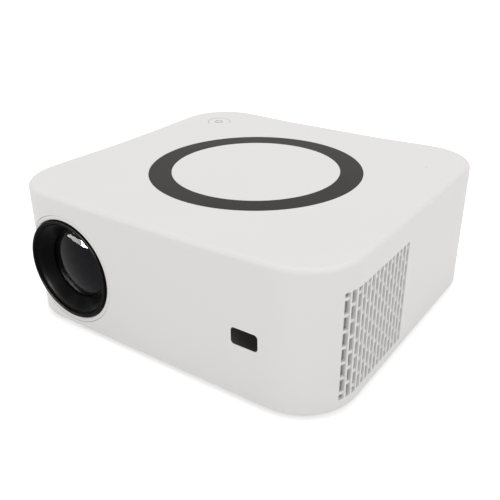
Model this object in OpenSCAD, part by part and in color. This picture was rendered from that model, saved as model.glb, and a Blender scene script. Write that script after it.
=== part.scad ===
// Compact projector with a slim disc drive built in.
// Millimetres, +Z up. The lens looks along -Y, the disc tray opens along -X.
// The origin is under the middle of the whole part, where it stands on its feet.

/* [Body] */
// Width of the body
body_w = 230; // [228:1:240]
// Depth of the body, without the proud lens rim
body_d = 216; // [214:1:228]
// Height of the shell, without the feet
body_h = 86.3; // [86:0.1:94]
// Plan radius of the four upright corners
corner_r = 34.5; // [33:0.5:36]
// Rounding of the top edge
edge_r = 3; // [2:0.5:3.5]
// Wall of the shell and of the bottom cover
wall = 2.5; // [2:0.1:3]
// Thickness of the roof under the flat rim of the top
roof = 4.2; // [4:0.1:5]
// Height of the feet under the shell
foot_h = 3; // [2.6:0.2:4]
// Radius of a rubber foot
foot_r = 8; // [6:0.5:9]

/* [Top] */
// Depth of the shallow round dish in the top
dish_drop = 0.85; // [0.8:0.05:1.5]
// Radius where the dish starts to fall
dish_rim_r = 126; // [124:1:128]
// Radius where the dish becomes flat
dish_floor_r = 112; // [108:1:118]
// Outer radius of the dark ring in the top
ring_outer_r = 69.3; // [66:0.1:70]
// Inner radius of the dark ring
ring_inner_r = 54.6; // [50:0.1:58]
// Thickness of the dark ring
ring_t = 0.9; // [0.7:0.1:1]
// Radius of the power button
power_r = 8.6; // [7:0.1:9]
// Stroke of the power button
power_stroke = 0.8; // [0.6:0.1:0.9]

/* [Lens] */
// Lens axis, in from the left side
lens_off = 49; // [48:0.5:50]
// Lens axis above the bottom of the shell
lens_h = 38.8; // [38:0.2:39.4]
// Radius of the black lens rim
rim_r = 32.4; // [32:0.1:33]
// How far the rim stands out of the front
rim_proud = 0.8; // [0.4:0.1:1.5]
// Radius of the front glass
glass_r = 21.5; // [20:0.5:22]
// Depth of the front glass edge behind the front face
glass_depth = 8; // [8:0.2:9]
// Bulge of the front glass
glass_bulge = 4; // [2.5:0.5:4]
// Radial width of the white bezel
bezel_w = 3; // [2.6:0.1:3.2]
// Focus travel of the lens, outward
focus_travel = 5; // [3:0.5:6]

/* [Vents] */
// Width of a vent slot
slot_w = 3.5; // [3:0.1:3.8]
// Height of a full vent slot
slot_len = 7.6; // [7:0.1:7.8]
// Spacing of the slot columns
column_pitch = 4.85; // [4.6:0.05:5]
// Spacing of the slots in a column
row_pitch = 9.5; // [9.2:0.1:9.6]
// Number of slot columns on the right
columns = 15; // [11:1:15]
// Depth of the groove that each column of slots lies in
groove_depth = 1.7; // [1:0.1:1.8]
// Thickness of the fine net behind the slots on the right
net_t = 0.5; // [0.4:0.1:0.8]

/* [Disc drive] */
// Width of the drive
drive_w = 128; // [127:0.5:129]
// Depth of the drive behind its bezel
drive_d = 124; // [123:1:126]
// Height of the drive
drive_t = 12.7; // [12.5:0.1:13]
// Radius of the disc well
well_r = 60.3; // [60.1:0.1:60.4]
// Travel of the disc tray
tray_travel = 126; // [118:1:127]
// Travel of the pickup sled
sled_travel = 32; // [28:1:32]

/* [Optics and cooling] */
// Depth of the light engine
engine_d = 48; // [46:0.5:50]
// Height of the light engine
engine_t = 50; // [48:0.5:50]
// Side of the square fan
fan_size = 60; // [56:1:60]
// Thickness of the fan
fan_t = 15; // [12:0.5:16]
// Number of fan blades
blades = 7; // [5:1:9]
// Number of heat sink fins
fins = 11; // [8:1:12]

/* [Mounts] */
// Wall radius of the tripod thread
tripod_r = 2.6; // [2.5:0.05:3]
// Length of the tripod thread
tripod_len = 11; // [9:0.5:12]
// Radius of the audio jack bore
jack_r = 1.8; // [1.6:0.1:2]

/* [Hidden] */
$fn = 64;

// Clearances
slack = 0.3;        // between pieces that move past each other
seam = 0.2;         // between a fixed piece and the hole it fills
running = 0.06;     // radial, between a shaft and its bore
touch = 0.05;       // radial, between fixed round pieces
pad = 1;            // how far a cutter runs past a face
root = 0.5;         // how far a post reaches into the wall it grows from

// Body planes
mid_y = rim_proud / 2;
front_y = mid_y - body_d / 2;
rear_y = mid_y + body_d / 2;
left_x = -body_w / 2;
right_x = body_w / 2;
base_z = foot_h;
top_z = foot_h + body_h;
roof_z = top_z - roof;
dish_z = top_z - dish_drop;
cover_z = base_z + wall;        // inner face of the bottom cover
arc_x = body_w / 2 - corner_r;  // centres of the corner arcs
arc_y = body_d / 2 - corner_r;

// Disc drive, hung from the roof downward, on a deck plate
drive_top = roof_z - 2.3;
drive_z = drive_top - drive_t;
sheet = 0.8;
deck_t = 1.2;
deck_z = drive_z - deck_t;

// Power button, status light and remote window
power_at = [left_x + 28.5, mid_y + 74.6];
flange_w = 1.2;
switch_z = roof_z - 9.2;        // upper face of the button board
switch_h = 0.8;
board_t = 1.6;
light_at = [right_x - 24, mid_y + 63.6];
light_r = 0.8;
window_at = [right_x - 48.9, base_z + 38.2];
window_size = [16.8, 10.2];
window_r = 2.2;
ir_gap = 4;

// Lens train, measured back from the front face
lens_x = left_x + lens_off;
lens_z = base_z + lens_h;
bezel_r = rim_r + bezel_w;
bezel_gap = 0.4;
bezel_back = 8.5;
barrel_r = rim_r - 6.4;
shoulder = 11.7;
carriage_front = shoulder + slack;
carriage_len = 14;
carriage_back = carriage_front + carriage_len;
retainer_t = 1.5;
barrel_back = carriage_back + 3.5;
glass_back = glass_depth + 3;
ledge_w = 1.5;
rear_seat = 23.5;
holder_back = 36;
holder_flange = 2.5;
key_w = 6;
key_h = 1.2;
mouth_r = rim_r - 2.2;

// Light engine
engine_front = front_y + holder_back + holder_flange;
engine_back = engine_front + engine_d;
axis_y = engine_front + engine_d / 2;
mirror_half = 26;
engine_left = lens_x - mirror_half;
fan_clear = 5;                  // from the fins to the fan
lid_gap = 2.1;                  // from the lid to the deck
engine_wall = 2.2;
lid_top = deck_z - lid_gap;
lid_z = lid_top - engine_wall;
engine_z = lid_top - engine_t;
light_z = engine_z + engine_t / 2;
led_t = 4;
sink_base = 4;
sink_len = 42;
fan_x = right_x - wall - fan_t - 4.5;
sink_x = fan_x - fan_clear - sink_len;
engine_right = sink_x - led_t;
optic_w = engine_d - 2 * engine_wall - 2 * slack;
optic_z = engine_z + engine_wall;
optic_h = lid_z - optic_z - slack;
rib = 1.2;
rib_depth = 1.5;
// Places of the flat optics along the light path and their thickness
sheet_pitch = 7;
lcd_x = (lens_x + engine_right) / 2 - sheet_pitch;
field_x = lcd_x - sheet_pitch;
collimator_x = lcd_x + sheet_pitch;
condenser_x = engine_right - 16;
heat_glass_x = condenser_x - 12;
sheet_t = 2;
lcd_t = 3;
light_hole = 34;
led_half = 20;
condenser_r = 19;
sink_w = engine_d + 4;
fin_t = 1.4;

// Fan
fan_y = front_y + corner_r + 23.1;
fan_z = base_z + 38.2;
fan_bore = fan_size / 2 - 2;
fan_hub_r = 13;
fan_shaft_r = 1.5;

// Vents on the right side, measured round the corner from where the side turns flat
vent_start = -12.85;
vent_z = base_z + 5.9;
vent_rows = 7;
vent_len = (vent_rows - 1) * row_pitch + slot_len;
bridge = row_pitch - slot_len;
short_len = (slot_len - bridge) / 2;
net_edge = 1.4;                 // how far the net reaches past the slots
intake_columns = 11;
intake_rows = 5;
intake_y = mid_y + 35;
intake_len = (intake_rows - 1) * row_pitch + slot_len;
intake_drop = 9.5;              // from the drive down to the intake
intake_z = drive_z - intake_drop - intake_len;

// Disc drive in plan
face_t = wall + 0.1;            // bezel thickness
drive_x = left_x + wall + 0.5;  // front edge of the drive's sheet metal
drive_back = drive_x + drive_d;
disc_x = left_x + 65;
tray_front = left_x + face_t;
tray_back = drive_back - 4;
tray_half = drive_w / 2 - 3.1;
tray_z = drive_z + 1.2;
tray_top = drive_top - 2.1;
well_z = drive_top - 5.3;
well_floor = 1.4;
small_well_r = 40.5;
small_well_drop = 0.6;
skirt = 2.4;
rail_half = drive_w / 2 - sheet - slack;
rail_mid_z = drive_z + 6.2;
tongue_h = 3.8;
rail_t = 0.7;
rail_grip = 1.7;

// Pickup mechanism, on a diagonal from the disc centre
sled_turn = -45;
read_r = 24;
sled_len = 16;
rod_off = 10;
screw_off = -14.5;
rod_r = 1.2;
rod_z = drive_z + 3.7;
rod_in = 11;
rod_out = read_r + sled_travel + sled_len / 2 + 2;
screw_in = 8;
screw_out = read_r + sled_travel + 5;
sled_z = drive_z + 1.8;
sled_top = well_z - well_floor - 0.4;
motor_r = 11;
hub_flange_r = 13.5;
hub_open_r = 16;
spindle_r = 1;
eject_at = [mid_y + 38, drive_z + 3.4];
eject_size = [12, 3.4];

// Boards and sockets
board_z = cover_z + 3.5;
board_top = board_z + board_t;
deck_post_x = drive_back + 0.5; // stands in the gap between the boards
main_x = [left_x + 22.5, deck_post_x - 4.5];
power_x = [deck_post_x + 5.5, right_x - 22.5];
board_y = [mid_y + 13.6, rear_y - 8.4];
panel_in = rear_y - wall - 2;
panel_half = arc_x - 2.5;
panel_z = [base_z + 7, base_z + 68];
lip = 2;
socket_in = rear_y - 15.4;
jack_x = [-panel_half + 21, -panel_half + 11];
usb_x = [-panel_half + 51, -panel_half + 35];
hdmi_x = -panel_half + 70;
jack_z = board_top + 4;
jack_len = 12;
inlet_x = panel_half - 20;
inlet_z = board_top + 9;
inlet_size = [24, 18];
speaker_x = panel_half - 22;
speaker_z = base_z + 47;
speaker_r = 18.5;

// Supports on the bottom cover
foot_at = [arc_x - 0.5, arc_y];
screw_reach = 17;
screw_r = 1.5;
boss_r = 4.5;
boss_h = 10;
post_r = 3.2;
post_y = mid_y + 60;
post_x = [left_x + 12, deck_post_x];
stud_at = [0, front_y + 19.6];
stud_r = 3;
stud_top = 26;
insert_r = 6;
insert_len = 12;
tripod_at = [0, mid_y - 4];

module rounded_rect(w, d, r) {
    union() {
        square([w - 2 * r, d], center = true);
        square([w, d - 2 * r], center = true);
        for (sx = [-1, 1], sy = [-1, 1])
            translate([sx * (w / 2 - r), sy * (d / 2 - r)]) circle(r);
    }
}

// Half-open 2D slab whose two top corners are rounded
module slab_profile(w, h, f) {
    union() {
        translate([-w / 2, 0]) square([w, h - f]);
        translate([-w / 2 + f, 0]) square([w - 2 * f, h]);
        for (s = [-1, 1]) translate([s * (w / 2 - f), h - f]) circle(f);
    }
}

// Solid of the body's outside: rounded corners, rounded top edge
module body_block(w, d, h, r, f) {
    union() {
        translate([-(w / 2 - r), 0, 0]) rotate([90, 0, 90])
            linear_extrude(w - 2 * r) slab_profile(d, h, f);
        translate([0, d / 2 - r, 0]) rotate([90, 0, 0])
            linear_extrude(d - 2 * r) slab_profile(w, h, f);
        for (k = [0:3]) rotate([0, 0, k * 90])
            translate([(k % 2 == 0 ? w : d) / 2 - r, (k % 2 == 0 ? d : w) / 2 - r, 0])
                rotate_extrude(angle = 90) union() {
                    square([r, h - f]);
                    square([r - f, h]);
                    translate([r - f, h - f]) intersection() {
                        circle(f);
                        square(f);
                    }
                }
    }
}

// The body's outside with the shallow dish in its top
module body_outside() {
    difference() {
        translate([0, mid_y, base_z]) body_block(body_w, body_d, body_h, corner_r, edge_r);
        translate([0, mid_y, dish_z]) rotate_extrude()
            polygon([[0, 0], [dish_floor_r, 0], [dish_rim_r, dish_drop],
                [dish_rim_r + pad, dish_drop + pad], [0, dish_drop + pad]]);
    }
}

module along_x(at) { translate(at) rotate([0, 90, 0]) children(); }
module along_y(at) { translate(at) rotate([-90, 0, 0]) children(); }

module box(low, high) { translate(low) cube(high - low); }

module ring(r_out, r_in, h) {
    difference() {
        cylinder(h = h, r = r_out);
        translate([0, 0, -pad]) cylinder(h = h + 2 * pad, r = r_in);
    }
}

// Lens train pieces stand on the lens axis, z running back from the front face
module on_lens_axis() { along_y([lens_x, front_y, lens_z]) children(); }

// One slot cutter into the right wall, s along the wall from where the corner ends
module right_slot(s, z, len, depth) {
    turn = min(0, s + slot_w / 2) / corner_r * 180 / PI;
    run = max(0, s);
    translate([arc_x, front_y + corner_r, 0])
        rotate([0, 0, turn == 0 ? 0 : s / corner_r * 180 / PI])
            translate([corner_r - depth, (turn == 0 ? run : 0) - slot_w / 2, z])
                cube([depth + pad, slot_w, len]);
}

// Each column is a groove, with slots through its floor between thin bridges
module right_vents() {
    through = wall + pad;
    for (k = [0:columns - 1]) {
        s = vent_start + k * column_pitch;
        right_slot(s, vent_z, vent_len, groove_depth);
        if (k % 2 == 1) {
            for (j = [0:vent_rows - 1]) right_slot(s, vent_z + j * row_pitch, slot_len, through);
        } else {
            right_slot(s, vent_z, short_len, through);
            for (j = [0:vent_rows - 2])
                right_slot(s, vent_z + short_len + bridge + j * row_pitch, slot_len, through);
            right_slot(s, vent_z + vent_len - short_len, short_len, through);
        }
    }
}

module left_vents() {
    for (k = [0:intake_columns - 1])
        translate([left_x, intake_y + (k - (intake_columns - 1) / 2) * column_pitch - slot_w / 2,
                intake_z]) {
            translate([-pad, 0, 0]) cube([groove_depth + pad, slot_w, intake_len]);
            for (j = [0:intake_rows - 1]) translate([-pad, 0, j * row_pitch])
                cube([wall + 2 * pad, slot_w, slot_len]);
        }
}

module at_corners(x, y) {
    for (sx = [-1, 1], sy = [-1, 1]) translate([sx * x, mid_y + sy * y, 0]) children();
}

module upper_shell() {
    color([0.9, 0.89, 0.89]) {
        difference() {
            body_outside();
            translate([0, mid_y, base_z - pad]) linear_extrude(roof_z - base_z + pad)
                rounded_rect(body_w - 2 * wall, body_d - 2 * wall, corner_r - wall);
            translate([0, mid_y, dish_z - ring_t]) ring(ring_outer_r, ring_inner_r, roof);
            on_lens_axis() translate([0, 0, -pad]) cylinder(h = 12, r = bezel_r + seam);
            right_vents();
            left_vents();
            translate([window_at[0], front_y + wall + pad, window_at[1]]) rotate([90, 0, 0])
                linear_extrude(wall + 2 * pad) rounded_rect(window_size[0], window_size[1], window_r);
            translate([power_at[0], power_at[1], roof_z - pad])
                cylinder(h = roof + 2 * pad, r = power_r + slack);
            translate([light_at[0], light_at[1], roof_z - pad])
                cylinder(h = roof + 2 * pad, r = light_r + touch);
            box([left_x - pad, mid_y - drive_w / 2 - seam, drive_z - seam],
                [left_x + wall + pad, mid_y + drive_w / 2 + seam, drive_top + seam]);
            box([-panel_half, rear_y - wall - pad, panel_z[0]], [panel_half, rear_y + pad, panel_z[1]]);
        }
        // Screw bosses in the corners, each tied to the wall by a rib
        for (sx = [-1, 1], sy = [-1, 1]) translate([sx * arc_x, mid_y + sy * arc_y, cover_z])
            rotate([0, 0, atan2(sy, sx)]) difference() {
                union() {
                    translate([screw_reach + 7, 0, 0]) cylinder(h = boss_h, r = boss_r);
                    translate([screw_reach + 7, -1, 0])
                        cube([corner_r - wall - screw_reach - 7 + 1, 2, boss_h]);
                }
                translate([screw_reach + 7, 0, -pad]) cylinder(h = boss_h + pad, r = screw_r + touch);
            }
        // Posts that carry the button board and the remote receiver
        for (s = [-1, 1]) translate([power_at[0] + s * 12, power_at[1], switch_z])
            cylinder(h = roof_z - switch_z + root, r = 2);
        for (s = [-1, 1]) along_y([window_at[0] + s * 11, front_y + wall - root, window_at[1]])
            cylinder(h = ir_gap + root, r = 1.5);
    }
}

module bottom_cover() {
    color([0.86, 0.86, 0.86]) difference() {
        union() {
            translate([0, mid_y, base_z]) linear_extrude(wall)
                rounded_rect(body_w - 2 * wall - 2 * seam, body_d - 2 * wall - 2 * seam,
                    corner_r - wall - seam);
            // Posts under the engine, the heat sink, the boards and the drive deck
            for (x = [engine_left + 8, engine_right - 8], y = [engine_front + 9, engine_back - 9])
                translate([x, y, cover_z]) cylinder(h = engine_z - cover_z, r = 4);
            translate([sink_x + 20, axis_y, cover_z]) cylinder(h = engine_z - cover_z, r = 6);
            for (x = [main_x[0] + 5, main_x[1] - 5, power_x[0] + 5, power_x[1] - 5],
                    y = [board_y[0] + 5, board_y[1] - 5])
                translate([x, y, cover_z]) cylinder(h = board_z - cover_z, r = 3);
            for (x = post_x) translate([x, post_y, cover_z])
                cylinder(h = deck_z - cover_z, r = post_r);
            box([fan_x, fan_y - fan_size / 2, cover_z],
                [fan_x + fan_t, fan_y + fan_size / 2, fan_z - fan_size / 2]);
            translate([stud_at[0], stud_at[1], cover_z])
                cylinder(h = insert_len - wall, r = insert_r + 2.5);
            translate([tripod_at[0], tripod_at[1], cover_z])
                cylinder(h = tripod_len - wall, r = tripod_r + 5);
        }
        for (sx = [-1, 1], sy = [-1, 1]) translate([sx * arc_x, mid_y + sy * arc_y, 0])
            rotate([0, 0, atan2(sy, sx)]) translate([screw_reach + 7, 0, base_z - pad]) {
                cylinder(h = wall + 2 * pad, r = screw_r + seam);
                cylinder(h = pad + wall - 1, r = 3 + seam);
            }
        at_corners(foot_at[0], foot_at[1])
            translate([0, 0, base_z - pad]) cylinder(h = wall + 2 * pad, r = 2.5 + touch);
        translate([stud_at[0], stud_at[1], base_z - pad])
            cylinder(h = insert_len + 2 * pad, r = insert_r + touch);
        translate([tripod_at[0], tripod_at[1], base_z - pad])
            cylinder(h = tripod_len + 2 * pad, r = tripod_r + 2.9 + touch);
    }
}

module rear_panel() {
    color([0.82, 0.82, 0.82]) difference() {
        union() {
            box([-panel_half + seam, panel_in, panel_z[0] + seam],
                [panel_half - seam, rear_y, panel_z[1] - seam]);
            box([-panel_half - lip, panel_in, panel_z[0] - lip],
                [panel_half + lip, rear_y - wall, panel_z[1] + lip]);
        }
        for (s = [-1, 1], k = [-3:3]) {
            half = sqrt(pow(speaker_r - 3, 2) - pow(k * 4.4, 2));
            box([s * speaker_x + k * 4.4 - 1.1, panel_in - pad, speaker_z - half],
                [s * speaker_x + k * 4.4 + 1.1, rear_y + pad, speaker_z + half]);
        }
        box([hdmi_x - 8 - slack, panel_in - pad, board_top - slack],
            [hdmi_x + 8 + slack, rear_y + pad, board_top + 6.6 + slack]);
        for (x = usb_x) box([x - 7 - slack, panel_in - pad, board_top - slack],
            [x + 7 + slack, rear_y + pad, board_top + 7 + slack]);
        for (x = jack_x) along_y([x, panel_in - pad, jack_z]) cylinder(h = 8, r = 3.4 + slack);
        box([inlet_x - inlet_size[0] / 2 - slack, panel_in - pad, inlet_z - inlet_size[1] / 2 - slack],
            [inlet_x + inlet_size[0] / 2 + slack, rear_y + pad, inlet_z + inlet_size[1] / 2 + slack]);
    }
}

module ring_inlay() {
    color([0.3, 0.29, 0.29]) translate([0, mid_y, dish_z - ring_t])
        ring(ring_outer_r - touch, ring_inner_r + touch, ring_t);
}

module ir_window() {
    color([0.14, 0.14, 0.14]) translate([window_at[0], front_y + wall, window_at[1]])
        rotate([90, 0, 0]) linear_extrude(wall - 0.1)
            rounded_rect(window_size[0] - 2 * touch, window_size[1] - 2 * touch, window_r - touch);
}

module ir_receiver() {
    color([0.2, 0.4, 0.25]) translate([window_at[0], front_y + wall + ir_gap, window_at[1]]) {
        translate([-13, 0, -6]) cube([26, board_t, 12]);
        rotate([90, 0, 0]) cylinder(h = ir_gap - 0.6, r = 3);
    }
}

module status_light() {
    color([0.85, 0.9, 0.95]) {
        intersection() {
            body_outside();
            translate([light_at[0], light_at[1], roof_z]) cylinder(h = roof + pad, r = light_r);
        }
        translate([light_at[0], light_at[1], roof_z - 1]) cylinder(h = 1, r = light_r + 1.2);
    }
}

module power_button() {
    color([0.9, 0.89, 0.89]) {
        intersection() {
            body_outside();
            translate([power_at[0], power_at[1], roof_z - slack]) cylinder(h = roof + pad, r = power_r);
        }
        translate([power_at[0], power_at[1], roof_z - slack - 1])
            cylinder(h = 1, r = power_r + flange_w);
        translate([power_at[0], power_at[1], switch_z + switch_h + power_stroke + slack])
            cylinder(h = roof_z - slack - 1 - switch_z - switch_h - power_stroke - slack, r = 2);
    }
}

module button_board() {
    color([0.2, 0.4, 0.25]) {
        translate([power_at[0] - 15, power_at[1] - 7, switch_z - board_t]) cube([30, 14, board_t]);
        translate([power_at[0], power_at[1], switch_z]) cylinder(h = switch_h, r = 1.8);
    }
}

module lens_bezel() {
    color([0.86, 0.86, 0.86]) intersection() {
        body_outside();
        on_lens_axis() translate([0, 0, -pad])
            ring(bezel_r, rim_r + bezel_gap, bezel_back + pad);
    }
}

// Three keys stop the carriage from turning in the holder
module keys(r, w, h, len) {
    for (k = [0:2]) rotate([0, 0, 90 + k * 120]) translate([r - 1, -w / 2, 0]) cube([h + 1, w, len]);
}

module lens_holder() {
    color([0.16, 0.16, 0.17]) on_lens_axis() difference() {
        union() {
            translate([0, 0, bezel_back]) cylinder(h = holder_back - bezel_back, r = bezel_r - seam);
            translate([-bezel_r - 0.6, -engine_t / 2, holder_back])
                cube([2 * bezel_r + 1.2, engine_t, holder_flange]);
        }
        translate([0, 0, bezel_back - pad])
            cylinder(h = holder_back - bezel_back + pad, r = rim_r + touch);
        translate([0, 0, bezel_back - pad])
            keys(rim_r, key_w + 2 * slack, key_h + slack, holder_back - bezel_back + pad);
        cylinder(h = holder_back + holder_flange + pad, r = glass_r + 4.5);
    }
}

module focus_carriage() {
    color([0.35, 0.35, 0.37]) on_lens_axis() translate([0, 0, carriage_front]) difference() {
        union() {
            cylinder(h = carriage_len, r = rim_r);
            translate([0, 0, focus_travel]) keys(rim_r, key_w, key_h, carriage_len - focus_travel);
        }
        translate([0, 0, -pad]) cylinder(h = carriage_len + 2 * pad, r = barrel_r + running);
    }
}

module focus_barrel() {
    color([0.05, 0.05, 0.05]) on_lens_axis() rotate_extrude() polygon([
        [mouth_r, -rim_proud], [rim_r - 0.8, -rim_proud], [rim_r, -rim_proud + 0.8],
        [rim_r, shoulder], [barrel_r, shoulder], [barrel_r, barrel_back],
        [glass_r + 0.2, barrel_back], [glass_r + 0.2, rear_seat], [glass_r - ledge_w, rear_seat],
        [glass_r - ledge_w, glass_back], [glass_r + touch, glass_back],
        [glass_r + touch, glass_depth - 0.4]]);
}

module barrel_retainer() {
    color([0.6, 0.6, 0.62]) on_lens_axis() translate([0, 0, carriage_back + slack])
        ring(barrel_r + 3, barrel_r + touch, retainer_t);
}

// Round lens, r wide and t thick at its edge, whose face at z = 0 bulges toward -z by sag
module round_lens(r, t, sag) {
    sphere_r = (r * r + sag * sag) / (2 * sag);
    intersection() {
        translate([0, 0, sphere_r - sag]) sphere(sphere_r, $fn = 240);
        translate([0, 0, -sag - pad]) cylinder(h = t + sag + pad, r = r);
    }
}

module front_glass() {
    color([0.25, 0.27, 0.35, 0.6]) on_lens_axis() translate([0, 0, glass_depth])
        round_lens(glass_r, glass_back - glass_depth, glass_bulge);
}

module rear_lens() {
    color([0.7, 0.8, 0.9, 0.5]) on_lens_axis() translate([0, 0, rear_seat + 3])
        mirror([0, 0, 1]) round_lens(glass_r, 3, 2.2);
}

// Ribs on both long walls of the engine that hold a plate of thickness t at x
module optic_ribs(x, t) {
    for (side = [-1, 1], y = [engine_front + engine_wall, engine_back - engine_wall - rib_depth])
        box([x + side * (t / 2 + 0.1 + rib / 2) - rib / 2, y, optic_z - pad],
            [x + side * (t / 2 + 0.1 + rib / 2) + rib / 2, y + rib_depth, lid_z]);
}

module engine_housing() {
    color([0.2, 0.2, 0.22]) {
        difference() {
            box([engine_left, engine_front, engine_z], [engine_right, engine_back, lid_z]);
            box([engine_left + engine_wall, engine_front + engine_wall, optic_z],
                [engine_right - engine_wall, engine_back - engine_wall, lid_z + pad]);
            along_y([lens_x, engine_front - pad, lens_z])
                cylinder(h = engine_wall + 2 * pad, r = light_hole / 2 + 3);
            box([engine_right - engine_wall - pad, axis_y - light_hole / 2, light_z - light_hole / 2],
                [engine_right + pad, axis_y + light_hole / 2, light_z + light_hole / 2]);
        }
        for (x = [field_x, collimator_x, heat_glass_x, condenser_x]) optic_ribs(x, sheet_t);
        optic_ribs(lcd_x, lcd_t);
        // Blocks behind the ends of the fold mirror
        translate([lens_x, axis_y, optic_z - pad]) rotate([0, 0, 45]) for (u = [4 - mirror_half, mirror_half - 12])
            translate([u, sheet_t / 2, 0]) cube([8, 3, lid_z - optic_z]);
    }
}

module engine_lid() {
    color([0.24, 0.24, 0.26]) union() {
        box([engine_left, engine_front, lid_z], [engine_right, engine_back, lid_top]);
        for (x = [engine_left + 8, disc_x + 10, drive_back - 6])
            translate([x, axis_y, lid_top]) cylinder(h = deck_z - lid_top, r = 4);
    }
}

module fold_mirror() {
    color([0.75, 0.78, 0.8]) translate([lens_x, axis_y, optic_z]) rotate([0, 0, 45])
        translate([-mirror_half, -sheet_t / 2, 0]) cube([2 * mirror_half, sheet_t, optic_h]);
}

module optic_plate(x, t) {
    box([x - t / 2, axis_y - optic_w / 2, optic_z], [x + t / 2, axis_y + optic_w / 2, optic_z + optic_h]);
}

module field_lens() { color([0.8, 0.9, 0.9, 0.5]) optic_plate(field_x, sheet_t); }

module lcd_panel() {
    color([0.25, 0.3, 0.35]) difference() {
        optic_plate(lcd_x, lcd_t);
        for (side = [-1, 1]) translate([lcd_x + side * lcd_t, axis_y, light_z])
            cube([2 * lcd_t - 1.6, optic_w - 8, optic_h - 10], center = true);
    }
}

module collimator_lens() { color([0.8, 0.9, 0.9, 0.5]) optic_plate(collimator_x, sheet_t); }

module heat_glass() { color([0.6, 0.85, 0.8, 0.5]) optic_plate(heat_glass_x, sheet_t); }

module condenser_lens() {
    color([0.85, 0.9, 0.95, 0.5]) union() {
        optic_plate(condenser_x, sheet_t);
        along_x([condenser_x, axis_y, light_z]) round_lens(condenser_r, sheet_t / 4, 7);
    }
}

module led_module() {
    color([0.9, 0.85, 0.5]) union() {
        box([engine_right, axis_y - led_half, light_z - led_half],
            [engine_right + led_t, axis_y + led_half, light_z + led_half]);
        along_x([engine_right - 3, axis_y, light_z]) cylinder(h = 3 + pad, r = 10);
    }
}

module heat_sink() {
    pitch = (sink_w - fin_t) / (fins - 1);
    color([0.7, 0.71, 0.73]) union() {
        box([sink_x, axis_y - sink_w / 2, engine_z],
            [sink_x + sink_base, axis_y + sink_w / 2, engine_z + engine_t]);
        for (k = [0:fins - 1]) box([sink_x, axis_y - sink_w / 2 + k * pitch, engine_z],
            [sink_x + sink_len, axis_y - sink_w / 2 + k * pitch + fin_t, engine_z + engine_t]);
    }
}

module on_fan_axis() { along_x([fan_x, fan_y, fan_z]) children(); }

module fan_frame() {
    color([0.12, 0.12, 0.13]) on_fan_axis() difference() {
        union() {
            difference() {
                translate([0, 0, fan_t / 2]) cube([fan_size, fan_size, fan_t], center = true);
                translate([0, 0, -pad]) cylinder(h = fan_t + 2 * pad, r = fan_bore);
            }
            cylinder(h = 2, r = fan_hub_r);
            cylinder(h = 8, r = 4);
            for (k = [0:3]) rotate([0, 0, 45 + k * 90])
                translate([fan_hub_r - 1, -1.5, 0]) cube([fan_bore - fan_hub_r + 2, 3, 2]);
        }
        translate([0, 0, 1]) cylinder(h = fan_t, r = fan_shaft_r + running);
        for (x = [-1, 1], y = [-1, 1])
            translate([x * (fan_size / 2 - 5), y * (fan_size / 2 - 5), -pad])
                cylinder(h = fan_t + 2 * pad, r = 2.1);
    }
}

module fan_rotor() {
    color([0.15, 0.15, 0.16]) on_fan_axis() union() {
        difference() {
            translate([0, 0, 2.6]) cylinder(h = fan_t - 3.2, r = fan_hub_r);
            translate([0, 0, 1.6]) cylinder(h = 7.4, r = fan_hub_r - 1.5);
        }
        translate([0, 0, 1.4]) cylinder(h = fan_t - 3, r = fan_shaft_r);
        for (k = [0:blades - 1]) rotate([0, 0, k * 360 / blades])
            translate([fan_hub_r - 1, 0, fan_t / 2 + 0.6]) rotate([38, 0, 0])
                translate([0, -7, -0.6]) cube([fan_bore - fan_hub_r - 0.2, 14, 1.2]);
    }
}

module main_board() {
    color([0.12, 0.35, 0.2]) union() {
        box([main_x[0], board_y[0], board_z], [main_x[1], board_y[1], board_top]);
        translate([main_x[0], board_y[0], board_top]) {
            translate([32.5, 26.4, 0]) cube([24, 24, 8]);
            translate([10.5, 16.4, 0]) cube([12, 12, 1.4]);
            for (y = [36.4, 48.4, 60.4]) translate([6.5, y, 0]) cylinder(h = 9, r = 3.5);
        }
        translate([main_x[1] - 34, board_y[0] + 16.4, board_top]) cube([16, 16, 1.6]);
    }
}

module power_board() {
    color([0.5, 0.4, 0.2]) union() {
        box([power_x[0], board_y[0], board_z], [power_x[1], board_y[1], board_top]);
        translate([power_x[0], board_y[0], board_top]) {
            translate([14, 14.4, 0]) cube([28, 26, 24]);
            translate([6, 48.4, 0]) cube([3, 22, 22]);
        }
        translate([power_x[1], board_y[0], board_top]) {
            translate([-26.5, 38.4, 0]) cube([20, 16, 18]);
            for (x = [-21.5, -8.5]) translate([x, 16.4, 0]) cylinder(h = 26, r = 6);
        }
    }
}

module ac_inlet() {
    color([0.08, 0.08, 0.08]) difference() {
        box([inlet_x - inlet_size[0] / 2, socket_in, inlet_z - inlet_size[1] / 2],
            [inlet_x + inlet_size[0] / 2, rear_y, inlet_z + inlet_size[1] / 2]);
        difference() {
            union() {
                for (s = [-1, 1]) along_y([inlet_x + s * 4.3, rear_y - 12, inlet_z])
                    cylinder(h = 12 + pad, r = 4.1);
                box([inlet_x - 4.3, rear_y - 12, inlet_z - 3.4], [inlet_x + 4.3, rear_y + pad, inlet_z + 3.4]);
            }
            for (s = [-1, 1]) along_y([inlet_x + s * 4.3, rear_y - 12 - pad, inlet_z])
                cylinder(h = 10, r = 1.2);
        }
    }
}

// Metal socket shell with a contact tongue, opening to the rear
module socket(x, w, h, tongue_z, tongue_h) {
    shell_t = 0.7;
    difference() {
        box([x - w / 2, socket_in, board_top], [x + w / 2, rear_y, board_top + h]);
        box([x - w / 2 + shell_t, socket_in + 2, board_top + shell_t],
            [x + w / 2 - shell_t, rear_y + pad, board_top + h - shell_t]);
    }
    box([x - w / 2 + 2.4, socket_in + 1, board_top + tongue_z],
        [x + w / 2 - 2.4, rear_y - 1.5, board_top + tongue_z + tongue_h]);
}

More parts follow.
